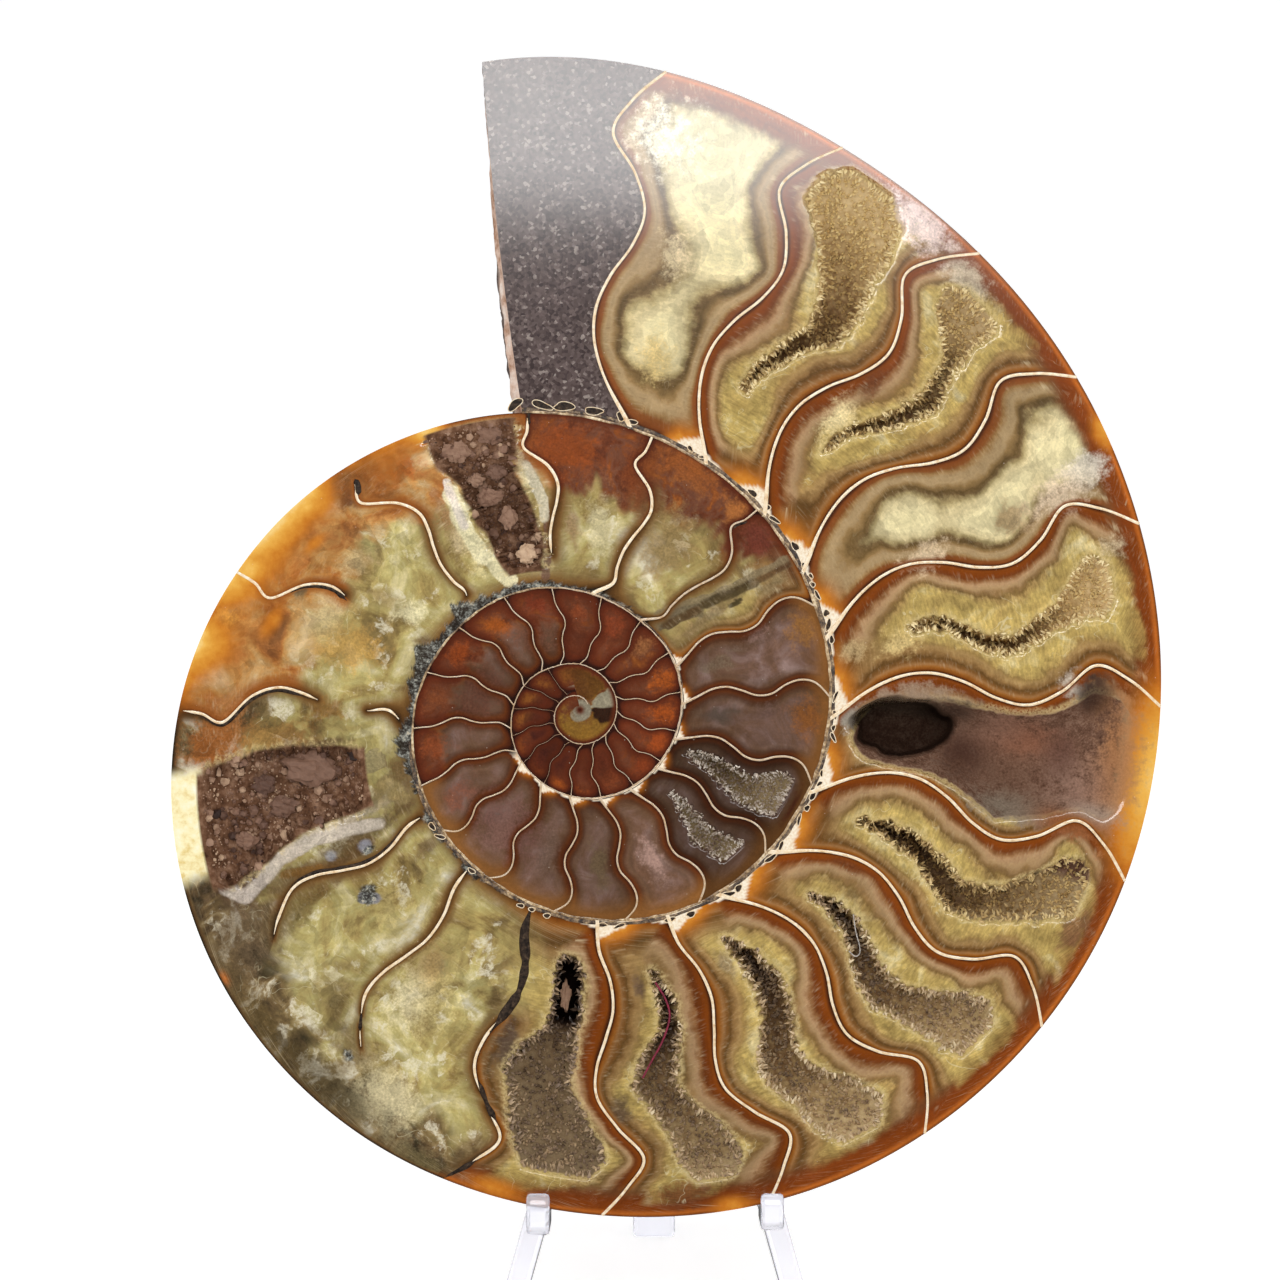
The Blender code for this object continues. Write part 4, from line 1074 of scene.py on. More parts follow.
METAL_TONES = (
    (0.36, (24, 21, 19)), (0.47, (52, 48, 44)), (0.53, (98, 98, 92)), (0.58, (146, 148, 140)),
    (0.64, (196, 184, 160)),
)
# The hollows' floors: pale where shallow, with painted shade that darkens them towards near black as they
# deepen.
FLOOR_AND_DEPTH_SHADE_TONES = (
    (0.2, (226, 198, 148)), (0.4, (196, 166, 116)), (0.6, (146, 114, 76)), (0.8, (88, 62, 40)),
    (0.95, (44, 30, 20)),
)
SKIN_TONES = ((0.3, (66, 42, 30)), (0.5, (112, 82, 66)), (0.68, (158, 128, 108)))
EARTH_TONES = ((0.3, (62, 40, 28)), (0.5, (110, 78, 58)), (0.7, (156, 122, 98)))
MUD_TONES = (
    (0, (44, 34, 34)), (0.25, (70, 57, 55)), (0.7, (94, 80, 77)), (0.9, (112, 98, 94)),
    (1, (158, 146, 138)),
)
SHELL_TONES = (
    (0.34, (58, 30, 16)), (0.42, (112, 56, 22)), (0.49, (156, 88, 34)), (0.55, (184, 130, 70)),
    (0.61, (196, 160, 110)), (0.68, (150, 104, 60)),
)
PEARL_TONES = ((0.35, (196, 150, 142)), (0.5, (210, 206, 178)), (0.65, (168, 188, 170)))
UMBILICAL_TONES = ((0.35, (62, 50, 42)), (0.65, (124, 106, 88)))
BROKEN_MUD_TONES = (
    (0.34, (54, 44, 42)), (0.47, (98, 82, 76)), (0.57, (138, 118, 106)), (0.7, (178, 158, 142)),
)
BROKEN_SHELL_TONES = ((0.35, (168, 120, 88)), (0.5, (224, 192, 172)), (0.65, (240, 222, 208)))
# Mottled surfaces: (noises as (part, scale, detail, roughness), stops over their sum, shader inputs).
MOTTLED_SURFACES = {
    "porcelain": (
        ((1, 1.6, 3, 0.6),), ((0.25, (206, 160, 108)), (0.42, (236, 208, 166)), (0.7, (252, 238, 212))),
        {"Roughness": 0.32, "Coat Weight": 0.6, "Coat Roughness": 0.1},
    ),
    "shell_wall": (
        ((0.7, 0.5, 3, 0.7), (0.3, 3, 2, 0.5)),
        (
            (0.3, (52, 38, 26)), (0.42, (110, 82, 52)), (0.52, (178, 146, 104)), (0.62, (226, 204, 166)),
            (0.75, (244, 230, 204)),
        ),
        {"Roughness": 0.4, "Coat Weight": 0.5},
    ),
    "folded_shell": (
        ((0.7, 1.1, 3, 0.7), (0.3, 4, 2, 0.5)),
        (
            (0.34, (24, 16, 12)), (0.44, (66, 48, 34)), (0.54, (120, 96, 70)), (0.62, (178, 150, 110)),
            (0.72, (228, 206, 164)),
        ),
        {"Roughness": 0.45},
    ),
    "dark_mud": (
        ((1, 2.4, 3, 0.6),), ((0.35, (24, 17, 13)), (0.6, (62, 48, 37)), (0.8, (104, 84, 64))),
        {"Roughness": 0.4, "Specular IOR Level": 0.12},
    ),
    "red_thread": (((1, 3),), ((0.3, (105, 16.8, 43.4)), (0.7, (150, 24, 62))), {"Roughness": 0.6}),
    "white_hair": (((1, 3),), ((0.3, (149.8, 144.2, 138.6)), (0.7, (214, 206, 198))), {"Roughness": 0.6}),
}


# ---------------------------------------------------------------------------------------------------
# Materials
# ---------------------------------------------------------------------------------------------------


def section_signals(tree):
    """What the section's colours share: the masks its mesh carries, noises, fibres, and the stains with the
    painted glare and shade among them.
    """
    at = SimpleNamespace(**{name: tree.carried(name) for name in FACE_MASKS})
    at.amounts = {kind: tree.carried(kind) for kind in FILLING_KINDS}
    at.amounts["honey"] = tree.rest(sum(at.amounts.values()))
    at.place = tree.in_mm()
    at.broad = tree.noise(at.place, 0.2, 3.0, 0.55)
    at.middle = tree.noise(at.place, 0.85, 4.0, 0.62)
    at.grain = tree.noise(at.place, 4.0, 3.0, 0.65)
    at.fibres, at.rays = place_group(tree, "calcite_fibres", {"Edge": at.edge, "Along": at.along})
    at.calm = tree.rest(at.amounts["mauve"] + at.amounts["russet"])
    at.striped = at.amounts["banded"] * 0.35 + at.amounts["honey"]
    ragged = (at.middle - 0.5) * 1.3 + at.stained + (at.grain - 0.5) * 0.5
    at.stain = ragged.step(0.15, 0.75) * at.stained.step(0.02, 0.14) * at.edge.step(0.15, 0.8)
    stain_tone = tree.node("Attribute", attribute_name="stain").outputs["Color"]
    at.stain_tone = tree.shade(stain_tone, at.grain * 0.9 + 0.55)
    at.within = at.outside.step(0.0, -0.35) * at.skin.step(2.0, 1.2)
    at.polished = tree.rest(tree.math("MAXIMUM", at.within, at.rubble))
    return at


def banded_colour(tree, at):
    """Bands that follow the edges, and wander more the further in they are, with the stains, painted glare
    and painted shade on them.
    """
    wander = (at.broad - 0.5) * 2.4 + (at.middle - 0.5) + (at.fibres - 0.5) * 0.35
    wander = wander * at.edge.step(0.35, 3.0)
    breadth = tree.noise(at.place, 0.1, 2.0, 0.5).step(0.34, 0.66, 0.7, 1.45)
    scaled = at.edge / at.band / ((breadth - 1.0) * at.calm + 1.0)
    at.inward = tree.math("MAXIMUM", scaled + wander, scaled * 0.5)
    honey = (tree.ramp(at.inward, BANDS[kind], BAND_REACH) for kind in ("honey", "honey_far"))
    colour = tree.mix(at.side, *honey)
    for kind in FILLING_KINDS:
        colour = tree.mix(at.amounts[kind], colour, tree.ramp(at.inward, BANDS[kind], BAND_REACH))
    rim = wander * 0.8 + at.rim
    colour = tree.mix(rim.step(3.9, 2.2), colour, tree.ramp(rim, RIM_TONES, 4.0))
    glaze = at.amounts["mauve"] * at.rim.step(13.5, 10.5) * 0.75
    colour = tree.mix(glaze, colour, (138, 92, 46))
    for kind, (size, amount, stops) in CLOUDS.items():
        low, high = (2.4, 4.0) if kind == "honey" else (0.4, 2.0)
        over = at.amounts[kind] * at.inward.step(low, high, 0.0, amount)
        colour = tree.mix(over, colour, tree.ramp(tree.noise(at.place, size, 6.0, 0.6, 0.7), stops))
    return tree.mix(at.stain * 0.85, colour, at.stain_tone)


def grained_colour(tree, at, colour):
    """Cloudiness, thin parallel stripes, combed fibres and flat facets in the calcite."""
    stripe = tree.noise(tree.vector(at.inward * 1.7, at.along * 0.05, at.chamber), 1.0, 2.0, 0.6)
    for level, amount in ((at.broad, 0.5), (at.middle, 0.45), (at.grain, 0.45), (stripe, 0.55)):
        colour = tree.shade(colour, level * amount + (1.0 - 0.5 * amount))
    comb = at.fibres.step(0.36, 0.64, -0.16, 0.16) * at.striped * at.inward.step(1.8, 3.2)
    colour = tree.shade(colour, comb + 1.0)
    swirl = tree.node("TexNoise", {"Vector": at.place, "Scale": 0.5}).outputs["Color"]
    bent = tree.node("VectorMath", {0: at.place, 1: swirl}, operation="ADD").outputs[0]
    facets = tree.cell_values(bent, 0.3) + tree.cell_values(bent, 0.9) - 1.0
    at.facets = facets * at.calm * at.inward.step(1.6, 3.2) * (at.striped * -0.12 + 0.3)
    return tree.shade(tree.shade(colour, at.facets + 1.0), at.tone)


def fractured_colour(tree, at, colour):
    """White crystalline patches and healed cracks, and pale and dark streaks that cross the bands."""
    broken = at.amounts["jade"] + at.amounts["weathered"]
    fractured = broken * at.edge.step(0.8, 2.4) * (at.stain * -0.75 + 1.0)
    patches = (at.facets * 0.35 + tree.noise(at.place, 0.3, 6.0, 0.66, 0.4)).step(0.55, 0.64)
    patches = patches * at.grain.step(0.34, 0.6, 0.4, 1.0)
    colour = tree.mix(patches * fractured * 0.7, colour, (228, 220, 194))
    crack = tree.math("ABSOLUTE", tree.noise(at.place, 0.21, 3.0, 0.5, 0.5) - 0.5)
    crack = crack.step(0.008, 0.0) * at.broad.step(0.46, 0.6)
    healed = tree.math("MAXIMUM", fractured, at.striped * at.inward.step(2.4, 3.2))
    colour = tree.mix(crack * healed * 0.45, colour, (226, 216, 176))
    near_edge = at.edge.step(0.55, 1.5) * at.edge.step(3.4, 1.9)
    near_edge = near_edge * tree.rest(at.amounts["mud"]) * (at.calm * 0.95 + 0.05)
    colour = tree.mix(at.rays * near_edge * 0.5, colour, (224, 202, 160))
    colour = tree.mix(at.fibres.step(0.5, 0.72) * near_edge * 0.2, colour, (204, 182, 142))
    return tree.mix(at.fibres.step(0.46, 0.3) * near_edge * 0.18, colour, (66, 42, 22))


def marked_colour(tree, at, colour):
    """Glow, the pale block, porcelain and metal."""
    glow = tree.ramp((at.middle - 0.5) * 0.45 + at.glow, GLOW_TONES)
    metal = tree.ramp(at.grain * 0.45 + at.middle * 0.55, METAL_TONES)
    colour = tree.mix(at.glow.step(0.12, 0.5), colour, glow)
    colour = tree.mix(at.block, colour, tree.ramp(at.middle, BLOCK_TONES))
    colour = tree.mix(at.porcelain, colour, tree.ramp(at.grain, PORCELAIN_FOOT_TONES))
    return tree.mix(at.metal * 0.95, colour, metal)


def hollow_colour(tree, at, colour):
    """Inside the hollows: a pale crystalline rim, then brown crystal grains, then painted shade that darkens
    the floor with depth and turns the deepest parts near black.
    """
    lip = at.outside.step(0.9, 0.1) * at.outside.step(-0.5, -0.1) * at.calm * at.grain.step(0.3, 0.6)
    colour = tree.mix(lip * at.skin.step(1.15, 1.0) * 0.6, colour, (214, 190, 134))
    # The floor's colour darkens with its depth: painted shade.
    floor = (at.deep - 2.5) * 0.14 + tree.cells(at.place, 1.6) * 0.3 + at.middle * 0.3
    floor = tree.mix(at.dull * 1.6, tree.ramp(floor, FLOOR_AND_DEPTH_SHADE_TONES), (104, 82, 68))
    colour = tree.mix(at.within, colour, tree.shade(floor, at.dull * -0.7 + at.calm * 0.45 + 0.55))
    skin = at.skin.step(0.0, 1.0)
    skin_tone = tree.ramp(at.grain * 0.5 + at.middle * 0.5, SKIN_TONES)
    colour = tree.mix(at.within * skin, colour, skin_tone)
    colour = tree.mix(at.stain * skin * 0.85, colour, at.stain_tone)
    colour = tree.mix(at.rubble, colour, tree.ramp(at.middle, EARTH_TONES))
    # The deepest parts are painted near black, a little less in the open hollow: painted shade.
    deep = at.deep.step(4.2, 6.6, 0.0, 0.95) * (skin * -0.2 + 1.0)
    return tree.mix(deep, colour, (22, 13, 10))


def section_material():
    """The polished section: banded calcite, mud and russet fillings, with the marks laid over them."""
    made, tree, shader = new_material("polished_section", {"Specular IOR Level": 0.0, "Coat Roughness": 0.09})
    at = section_signals(tree)
    colour = banded_colour(tree, at)
    for layer in (grained_colour, fractured_colour, marked_colour, hollow_colour):
        colour = layer(tree, at, colour)
    grains = tree.ramp((at.middle - 0.5) * 0.8 + tree.cell_values(at.place, 3.0), MUD_TONES)
    colour = tree.mix(at.amounts["mud"] * 0.75, colour, grains)
    flecks = place_group(tree, "polishing_flecks", {"Place": at.place, "Amount": 0.3})[0]
    colour = tree.mix(flecks * 0.5 * at.polished, colour, (232, 220, 200))
    tree.put(shader.inputs["Base Color"], colour)
    tree.put(shader.inputs["Roughness"], at.polished * -0.35 + 0.75)
    tree.put(shader.inputs["Coat Weight"], at.polished)
    grains = tree.cells(at.place, 1.6) + at.grain
    tree.bump(shader, tree.rest(at.polished) * grains, 0.5, 0.4)
    return made


def mottled_material(kind, name=None, tint=0.0):
    """A surface of MOTTLED_SURFACES: its colour runs over a sum of noises, mixed with brown by the tint."""
    noises, stops, values = MOTTLED_SURFACES[kind]
    made, tree, shader = new_material(name or kind, values)
    place = tree.in_mm()
    tone = sum(tree.noise(place, *settings) * part for part, *settings in noises)
    tree.put(shader.inputs["Base Color"], tree.mix(tint, tree.ramp(tone, stops), (128, 84, 52)))
    return made


def crystal_material(name, stops, roughness):
    """Crystals whose colour runs with their tone attribute, which holds their own colour and painted shade
    that deepens with depth, with small changes from grain to grain.
    """
    made, tree, shader = new_material(name, {"Roughness": roughness})
    tone = (tree.noise(tree.in_mm(), 2.0, 3.0, 0.6) - 0.5) * 0.3 + tree.carried("tone")
    tree.put(shader.inputs["Base Color"], tree.ramp(tone, stops))
    return made


def shell_material():
    """The polished outside of the shell: amber and red-brown clouds, pearly patches and dark mottling, with
    painted shade between the ribs and painted light on them.
    """
    made, tree, shader = new_material("polished_shell", {"Coat Weight": 0.6, "Coat Roughness": 0.12})
    place, inward = tree.in_mm(), tree.carried("inward")
    broad = tree.noise(place, 0.045, 4.0, 0.6, 0.5)
    middle = tree.noise(place, 0.3, 5.0, 0.65)
    grain = tree.noise(place, 2.2, 3.0, 0.6)
    colour = tree.ramp(broad * 0.7 + middle * 0.3, SHELL_TONES)
    pearl = tree.ramp(tree.noise(place, 0.12, 3.0, 0.6), PEARL_TONES)
    colour = tree.mix(tree.noise(place, 0.09, 4.0, 0.62).step(0.53, 0.62, 0.0, 0.55), colour, pearl)
    # Painted shade between the ribs and painted light on them.
    colour = tree.shade(colour, tree.carried("relief") * -0.22 + 1.08)
    for level, amount in ((middle, 0.5), (grain, 0.3)):
        colour = tree.shade(colour, level * amount + (1.0 - 0.5 * amount))
    earth = tree.ramp(grain, UMBILICAL_TONES)
    tree.put(shader.inputs["Base Color"], tree.mix(inward * middle.step(0.40, 0.58), colour, earth))
    tree.put(shader.inputs["Roughness"], grain * 0.3 + inward * 0.3 + 0.2)
    tree.bump(shader, grain + middle, 0.25, 0.2)
    return made


def broken_end_material():
    """The broken end: grey mud with coarse grains inside, and a pearly brown shell along its edge."""
    made, tree, shader = new_material("broken_mud", {"Roughness": 0.72})
    place = tree.in_mm()
    grain = tree.noise(place, 3.0, 4.0, 0.7)
    middle = tree.noise(place, 0.5, 4.0, 0.6)
    colour = tree.ramp(grain * 0.5 + middle * 0.5, BROKEN_MUD_TONES)
    colour = tree.mix(tree.carried("shell"), colour, tree.ramp(middle, BROKEN_SHELL_TONES))
    tree.put(shader.inputs["Base Color"], colour)
    tree.bump(shader, grain + tree.cells(place, 1.8), 0.5, 0.4)
    return made


def clear_plastic_material():
    """Clear acrylic: plain transmission with a faint cool tint and almost no roughness."""
    made, tree, shader = new_material(
        "clear_acrylic",
        {"Base Color": (0.93, 0.94, 1.0, 1.0), "Transmission Weight": 0.72, "IOR": 1.49},
    )
    smudge = tree.noise(tree.in_mm(), 0.2, 3.0, 0.6)
    tree.put(shader.inputs["Roughness"], smudge.step(0.45, 0.7, 0.01, 0.06))
    return made


# ---------------------------------------------------------------------------------------------------
# Pieces
# ---------------------------------------------------------------------------------------------------


def adopt(piece, node="fossil_half"):
    """Rides a piece on the one body, and hides the solid of model.glb that it stands in for."""
    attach(piece, "root")
    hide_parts(node)
    return piece


def flat_uv(turn, radius):
    """A flat layout of the cut face: its own plane, fitted to a square."""
    across, up = flat_place(turn, radius)
    size = max(np.ptp(across), np.ptp(up))
    return np.stack(((across - across.min()) / size, (up - up.min()) / size), axis=-1).reshape(-1, 2)


def looked_up(values, chambers, usual):
    """A dictionary's value for each of an array of chamber numbers, as an upright array."""
    return np.array([[values.get(int(number), usual)] for number in chambers])


def build_face_piece(name, first, last, spacing, rows, surface):
    """One stretch of the cut face between two septa, sunk where its hollows are."""
    grid = face_grid(first, last, spacing, rows)
    turn, radius, share, chamber = (grid[key] for key in ("turn", "radius", "share", "chamber"))
    sides = nearest_edge(grid)
    depth, outside = hollow_depth(turn, radius, share)
    ways = open_ways(grid)
    stain, stained = stains(grid)
    in_outer_whorl = ((chamber >= 1) & (chamber <= 11))[:, None]
    attributes = {
        "edge": sides["edge"], "along": sides["along"], "outside": outside, "deep": depth,
        "rim": np.where(in_outer_whorl, sides["high"], 10.0 + sides["high"]), "stained": stained,
        "skin": arc(turn, *OPEN_ARC) * (1.0 + smoothstep(0.84, 0.95, share)),
        "side": smoothstep(-0.8, 0.8, sides["near"] - np.minimum(sides["far"], sides["low"])),
        "band": blended(grid, ways, lambda numbers: chamber_table(numbers, 3)),
        "tone": blended(grid, ways, lambda numbers: looked_up(TONES, numbers, 1.0)),
        "dull": looked_up(DULLNESS, chamber, 0.0), "chamber": chamber[:, None] * 3.7,
        **fillings(grid, ways), **face_marks(grid, sides),
    }
    attributes = {key: np.broadcast_to(value, depth.shape).ravel() for key, value in attributes.items()}
    points, quads = in_face(turn, radius, depth), grid_quads(*turn.shape)
    attributes["stain"] = stain
    return adopt(add_mesh(name, points, quads, surface, attributes=attributes, uv=flat_uv(turn, radius)))


def bars(paths, top=-0.03, foot=0.45, closed=False):
    """Bars that follow paths on the cut face, as one mesh's points and faces.

    Each path is (across, up, half width) in mm. The profile is six points carried along the path, square
    to it: a flat box whose upper edges are eased, or a rounder one for closed paths.
    """
    sideways = np.array((-1.0, -1.0, -0.62, 0.62, 1.0, 1.0))
    depth = np.array((foot, 0.35 * top, top, top, 0.35 * top, foot))
    if closed:
        sideways = np.array((-1.0, -0.8, 0.0, 0.8, 1.0, 0.0))
        depth = np.array((foot * 0.5, 0.3 * top, top, 0.3 * top, foot * 0.5, foot))
    parts = []
    for across, up, half in paths:
        run, rise = np.gradient(across), np.gradient(up)
        if closed:
            run, rise = (np.roll(values, -1) - np.roll(values, 1) for values in (across, up))
        length = np.hypot(run, rise)
        x = across[:, None] - (rise / length)[:, None] * sideways * half[:, None]
        z = up[:, None] + (run / length)[:, None] * sideways * half[:, None]
        faces = [grid_quads(len(across), 6, wrap=closed, around=True)]
        if not closed:
            faces.append(end_caps(len(across), 6))
        parts.append((to_world(x, np.broadcast_to(depth, x.shape), z), faces))
    return joined(parts)


def faceted_spindle(rings, sides):
    """Points and triangles of a closed faceted spindle: rings up the z axis between two end points."""
    turn = np.radians(np.arange(sides) * 360.0 / sides)
    points = [(0.0, 0.0, rings[0][1])]
    for radius, height in rings[1:-1]:
        points.extend(zip(radius * np.cos(turn), radius * np.sin(turn), np.full(sides, height)))
    points.append((0.0, 0.0, rings[-1][1]))
    levels = len(rings) - 2
    near = np.arange(sides)
    far = (near + 1) % sides
    start, last = 1, len(points) - 1
    faces = [np.stack((np.zeros(sides, int), start + far, start + near), axis=-1)]
    for level in range(levels - 1):
        low, high = start + level * sides, start + (level + 1) * sides
        faces.append(np.stack((low + near, low + far, high + far), axis=-1))
        faces.append(np.stack((low + near, high + far, high + near), axis=-1))
    top = start + (levels - 1) * sides
    faces.append(np.stack((top + near, top + far, np.full(sides, last)), axis=-1))
    return np.array(points), np.concatenate(faces)


def turned_to(axes, spin):
    """Rotation matrices whose third column is each axis, spun about it by an angle."""
    axes = axes / np.linalg.norm(axes, axis=1, keepdims=True)
    helper = np.where(np.abs(axes[:, :1]) < 0.8, [[1.0, 0.0, 0.0]], [[0.0, 0.0, 1.0]])
    first = np.cross(helper, axes)
    first /= np.linalg.norm(first, axis=1, keepdims=True)
    second = np.cross(axes, first)
    cosine, sine = np.cos(spin)[:, None], np.sin(spin)[:, None]
    return np.stack((first * cosine + second * sine, second * cosine - first * sine, axes), axis=-1)


def scatter(template, faces, places, axes, spin, width, length, tone):
    """Copies of a template at many places of the stone's frame, as points, faces and tone of each point. Each
    copy's tone is darker at its foot and lighter at its tip: painted shade and light.
    """
    scale = np.stack((width, width, length), axis=-1)[:, None, :]
    shaped = template[None, :, :] * scale
    points = np.einsum("nij,nkj->nki", turned_to(axes, spin), shaped) + places[:, None, :]
    count, size = len(places), len(template)
    numbered = (faces[None, :, :] + (np.arange(count) * size)[:, None, None]).reshape(-1, 3)
    painted_foot_to_tip_shade = (template[:, 2] - template[:, 2].min()) / np.ptp(template[:, 2])
    # Painted shade at the foot of each copy and painted light at its tip.
    tones = np.ravel(tone[:, None] + 0.2 * (painted_foot_to_tip_shade[None, :] - 0.5))
    points = points.reshape(-1, 3)
    return to_world(points[:, 0], np.maximum(points[:, 1], 0.02), points[:, 2]), numbered, tones


def hollow_floor(turn, share, step=0.08):
    """Place, outward normal, way to the middle, depth and distance to the rim at points of the hollows.

    The slopes are differences of hollow_depth over a small step along the coil and a small step outwards.
    """
    def depth_at(angle, part):
        return hollow_depth(angle, coil_radius(angle, part), part)

    radius = coil_radius(turn, share)
    swing = np.degrees(step / radius)
    rise = step / (wall_radius(turn) - inner_radius(turn))
    depth, outside = depth_at(turn, share)
    ahead, behind = depth_at(turn + swing, share), depth_at(turn - swing, share)
    above, below = depth_at(turn, share + rise), depth_at(turn, share - rise)
    angle = np.radians(turn)

    def on_face(along, outward, back):
        """A direction given along the coil, outwards and into the stone, in the stone's own frame."""
        across = along * np.cos(angle) + outward * np.sin(angle)
        return np.stack((across, back, outward * np.cos(angle) - along * np.sin(angle)), axis=-1)

    slopes = [(high - low) / (2 * step) for high, low in ((ahead[0], behind[0]), (above[0], below[0]))]
    pulls = [(low - high) / (2 * step) for high, low in ((ahead[1], behind[1]), (above[1], below[1]))]
    across, up = flat_place(turn, radius)
    return {
        "place": np.stack((across, depth, up), axis=-1),
        "normal": on_face(slopes[0], slopes[1], -np.ones_like(turn)),
        "inward": on_face(pulls[0], pulls[1], -0.25 * np.ones_like(turn)),
        "depth": depth, "outside": outside,
    }


def hollow_points(name, spacing, random, reach=1.0):
    """Random turn angles and shares spread evenly over one hollow, about a spacing apart."""
    table = np.array(HOLLOWS[name])
    share = random.uniform(table[0, 1], table[-1, 1], 40000)
    centre, half, _ = station(HOLLOWS[name], share)
    keep = random.uniform(0.0, table[:, 2].max(), share.size) < half
    share, centre, half = share[keep], centre[keep], half[keep]
    turn = table[:, 0].mean()
    tall = float(wall_radius(turn) - inner_radius(turn)) * (table[-1, 1] - table[0, 1])
    area = tall * 2.0 * float(np.trapz(table[:, 2], table[:, 1]) / np.ptp(table[:, 1]))
    count = min(share.size, int(area / spacing**2))
    across = random.uniform(-reach, reach, count) * half[:count]
    radius = coil_radius(centre[:count], share[:count])
    return centre[:count] + np.degrees(across / radius), share[:count]


def septum_paths(first, last, width):
    """Path and half width of every whole stretch of the septa in a range. Each thins out at a broken end."""
    paths = []
    for number in range(first, last):
        if number in ABSENT_SEPTA:
            continue
        tall = float(wall_radius(SEPTA[number][0]) - inner_radius(SEPTA[number][0]))
        for low, high in kept_stretches(number):
            share = np.linspace(low, high, max(12, int(tall * (high - low) / 0.16)))
            half = 0.5 * width * (0.24 + 0.76 * smoothstep(2.0, 19.0, tall)) * np.ones_like(share)
            half = half * (1.0 + 0.55 * smoothstep(0.14, 0.0, share) * (tall > 12.0))
            half = half * (1.0 + 0.13 * noise(share * tall / 2.3, number + share, 31))
            for end, broken in ((low, low > 0.0), (high, high < 1.0)):
                if broken:
                    half = half * (0.25 + 0.75 * smoothstep(0.0, 0.05, np.abs(share - end)))
            turn = septum_angle(number, share)
            paths.append((*flat_place(turn, coil_radius(turn, share)), half))
    return paths


def dark_seam_paths():
    """Path and half width of each dark seam: as long as DARK_SEAMS says, thin at both ends and uneven."""
    paths = []
    for number, low, high, offset, width in DARK_SEAMS:
        share = np.linspace(low, high, 60)
        turn = septum_angle(number, share)
        radius = coil_radius(turn, share)
        half = 0.5 * width * (1.0 + 0.45 * noise(share * 30.0, number + share * 4.0, 33))
        half = half * (0.2 + 0.8 * smoothstep(0.0, 0.18, (share - low) / (high - low)))
        half = half * (0.2 + 0.8 * smoothstep(1.0, 0.82, (share - low) / (high - low)))
        across, up = flat_place(turn + np.degrees(offset / radius), radius)
        paths.append((across, up, half))
    return paths


def wall_path(first, last, width, seed, offset=0.0):
    """The spiral wall between whorls as a path for bars(): a slightly uneven line on the coil's wall."""
    turn = np.arange(first, last, 0.5)
    radius = wall_radius(turn) * np.exp(-0.0064 * np.maximum(turn - 1380.0, 0.0)) + offset
    scale = 0.35 + 0.65 * smoothstep(2.0, 30.0, radius)
    half = 0.5 * width * scale * (1.0 + 0.3 * noise(turn / 3.1, turn * 0.0, seed))
    radius = radius + 0.06 * scale * noise(turn / 2.3, turn * 0.0 + 5.0, seed)
    across, up = flat_place(turn, radius)
    return across, up, half


def wall_loops(width):
    """The chain of small rings where the dorsal wall folds, just outside the second whorl's wall.

    Each ring is an ellipse with a round bar along it: its place on the wall, size and tilt come from
    hashed values, and the rings stand closest at the foot of each septum.
    """
    rings, outlines = [], []
    feet = [float(septum_angle(number, 0.0)) for number in range(0, 14)]
    turn = APERTURE_ANGLE - 1.0
    number = 0
    while turn < 236.0:
        pick = [float(lattice(number, step, 77)) for step in range(6)]
        large = 1.0 + 0.8 * float(smoothstep(14.0, 2.0, turn))
        length = (0.30 + 0.40 * pick[0]) * large
        breadth = (0.20 + 0.14 * pick[1]) * large
        radius = float(wall_radius(turn + 360.0)) + 0.3 + breadth + 0.3 * pick[2]
        step = length * 2.0 + 0.25 + 1.1 * pick[4] ** 2
        ahead = min(abs(foot - 2.0 - turn) for foot in feet)
        if turn < 12.0 or ahead < 4.0 or pick[5] > 0.72:
            tilt = math.radians(turn + 90.0 + 60.0 * (pick[3] - 0.5))
            around = np.radians(np.arange(20) * 18.0)
            uneven = 1.0 + 0.15 * np.sin(2.0 * around + 9.0 * pick[3])
            uneven = uneven + 0.1 * np.sin(3.0 * around + 5.0 * pick[1])
            local_x, local_y = length * uneven * np.cos(around), breadth * uneven * np.sin(around)
            middle = flat_place(turn, radius)
            x = middle[0] + local_x * math.sin(tilt) - local_y * math.cos(tilt)
            z = middle[1] + local_x * math.cos(tilt) + local_y * math.sin(tilt)
            rings.append((x, z, np.full(20, 0.5 * width)))
            outlines.append((middle, x, z))
        turn += math.degrees(step / radius)
        number += 1
    return rings, outlines


def discs(outlines, depth=-0.012):
    """Flat fans that fill closed outlines on the cut face."""
    parts = []
    for middle, x, z in outlines:
        near, count = np.arange(len(x)), len(x)
        fan = np.stack((near, (near + 1) % count, np.full(count, count)), axis=-1)
        parts.append((to_world(np.append(x, middle[0]), depth, np.append(z, middle[1])), [fan]))
    return joined(parts)


def outer_share(turn, radius):
    """Share of the way across the outer whorl, 0 inside it."""
    inner = inner_radius(turn)
    return np.clip((radius - inner) / (wall_radius(turn) - inner), 0.0, 1.0)


def slanted(turn, share):
    """Turn angle moved on by the slant of the broken end, which dies out over the first turn's start."""
    fade = np.clip(1.0 - (turn - APERTURE_ANGLE) / SLANT_TURN, 0.0, 1.0)
    return turn + APERTURE_SLANT * outer_share(turn, share * wall_radius(turn)) * fade


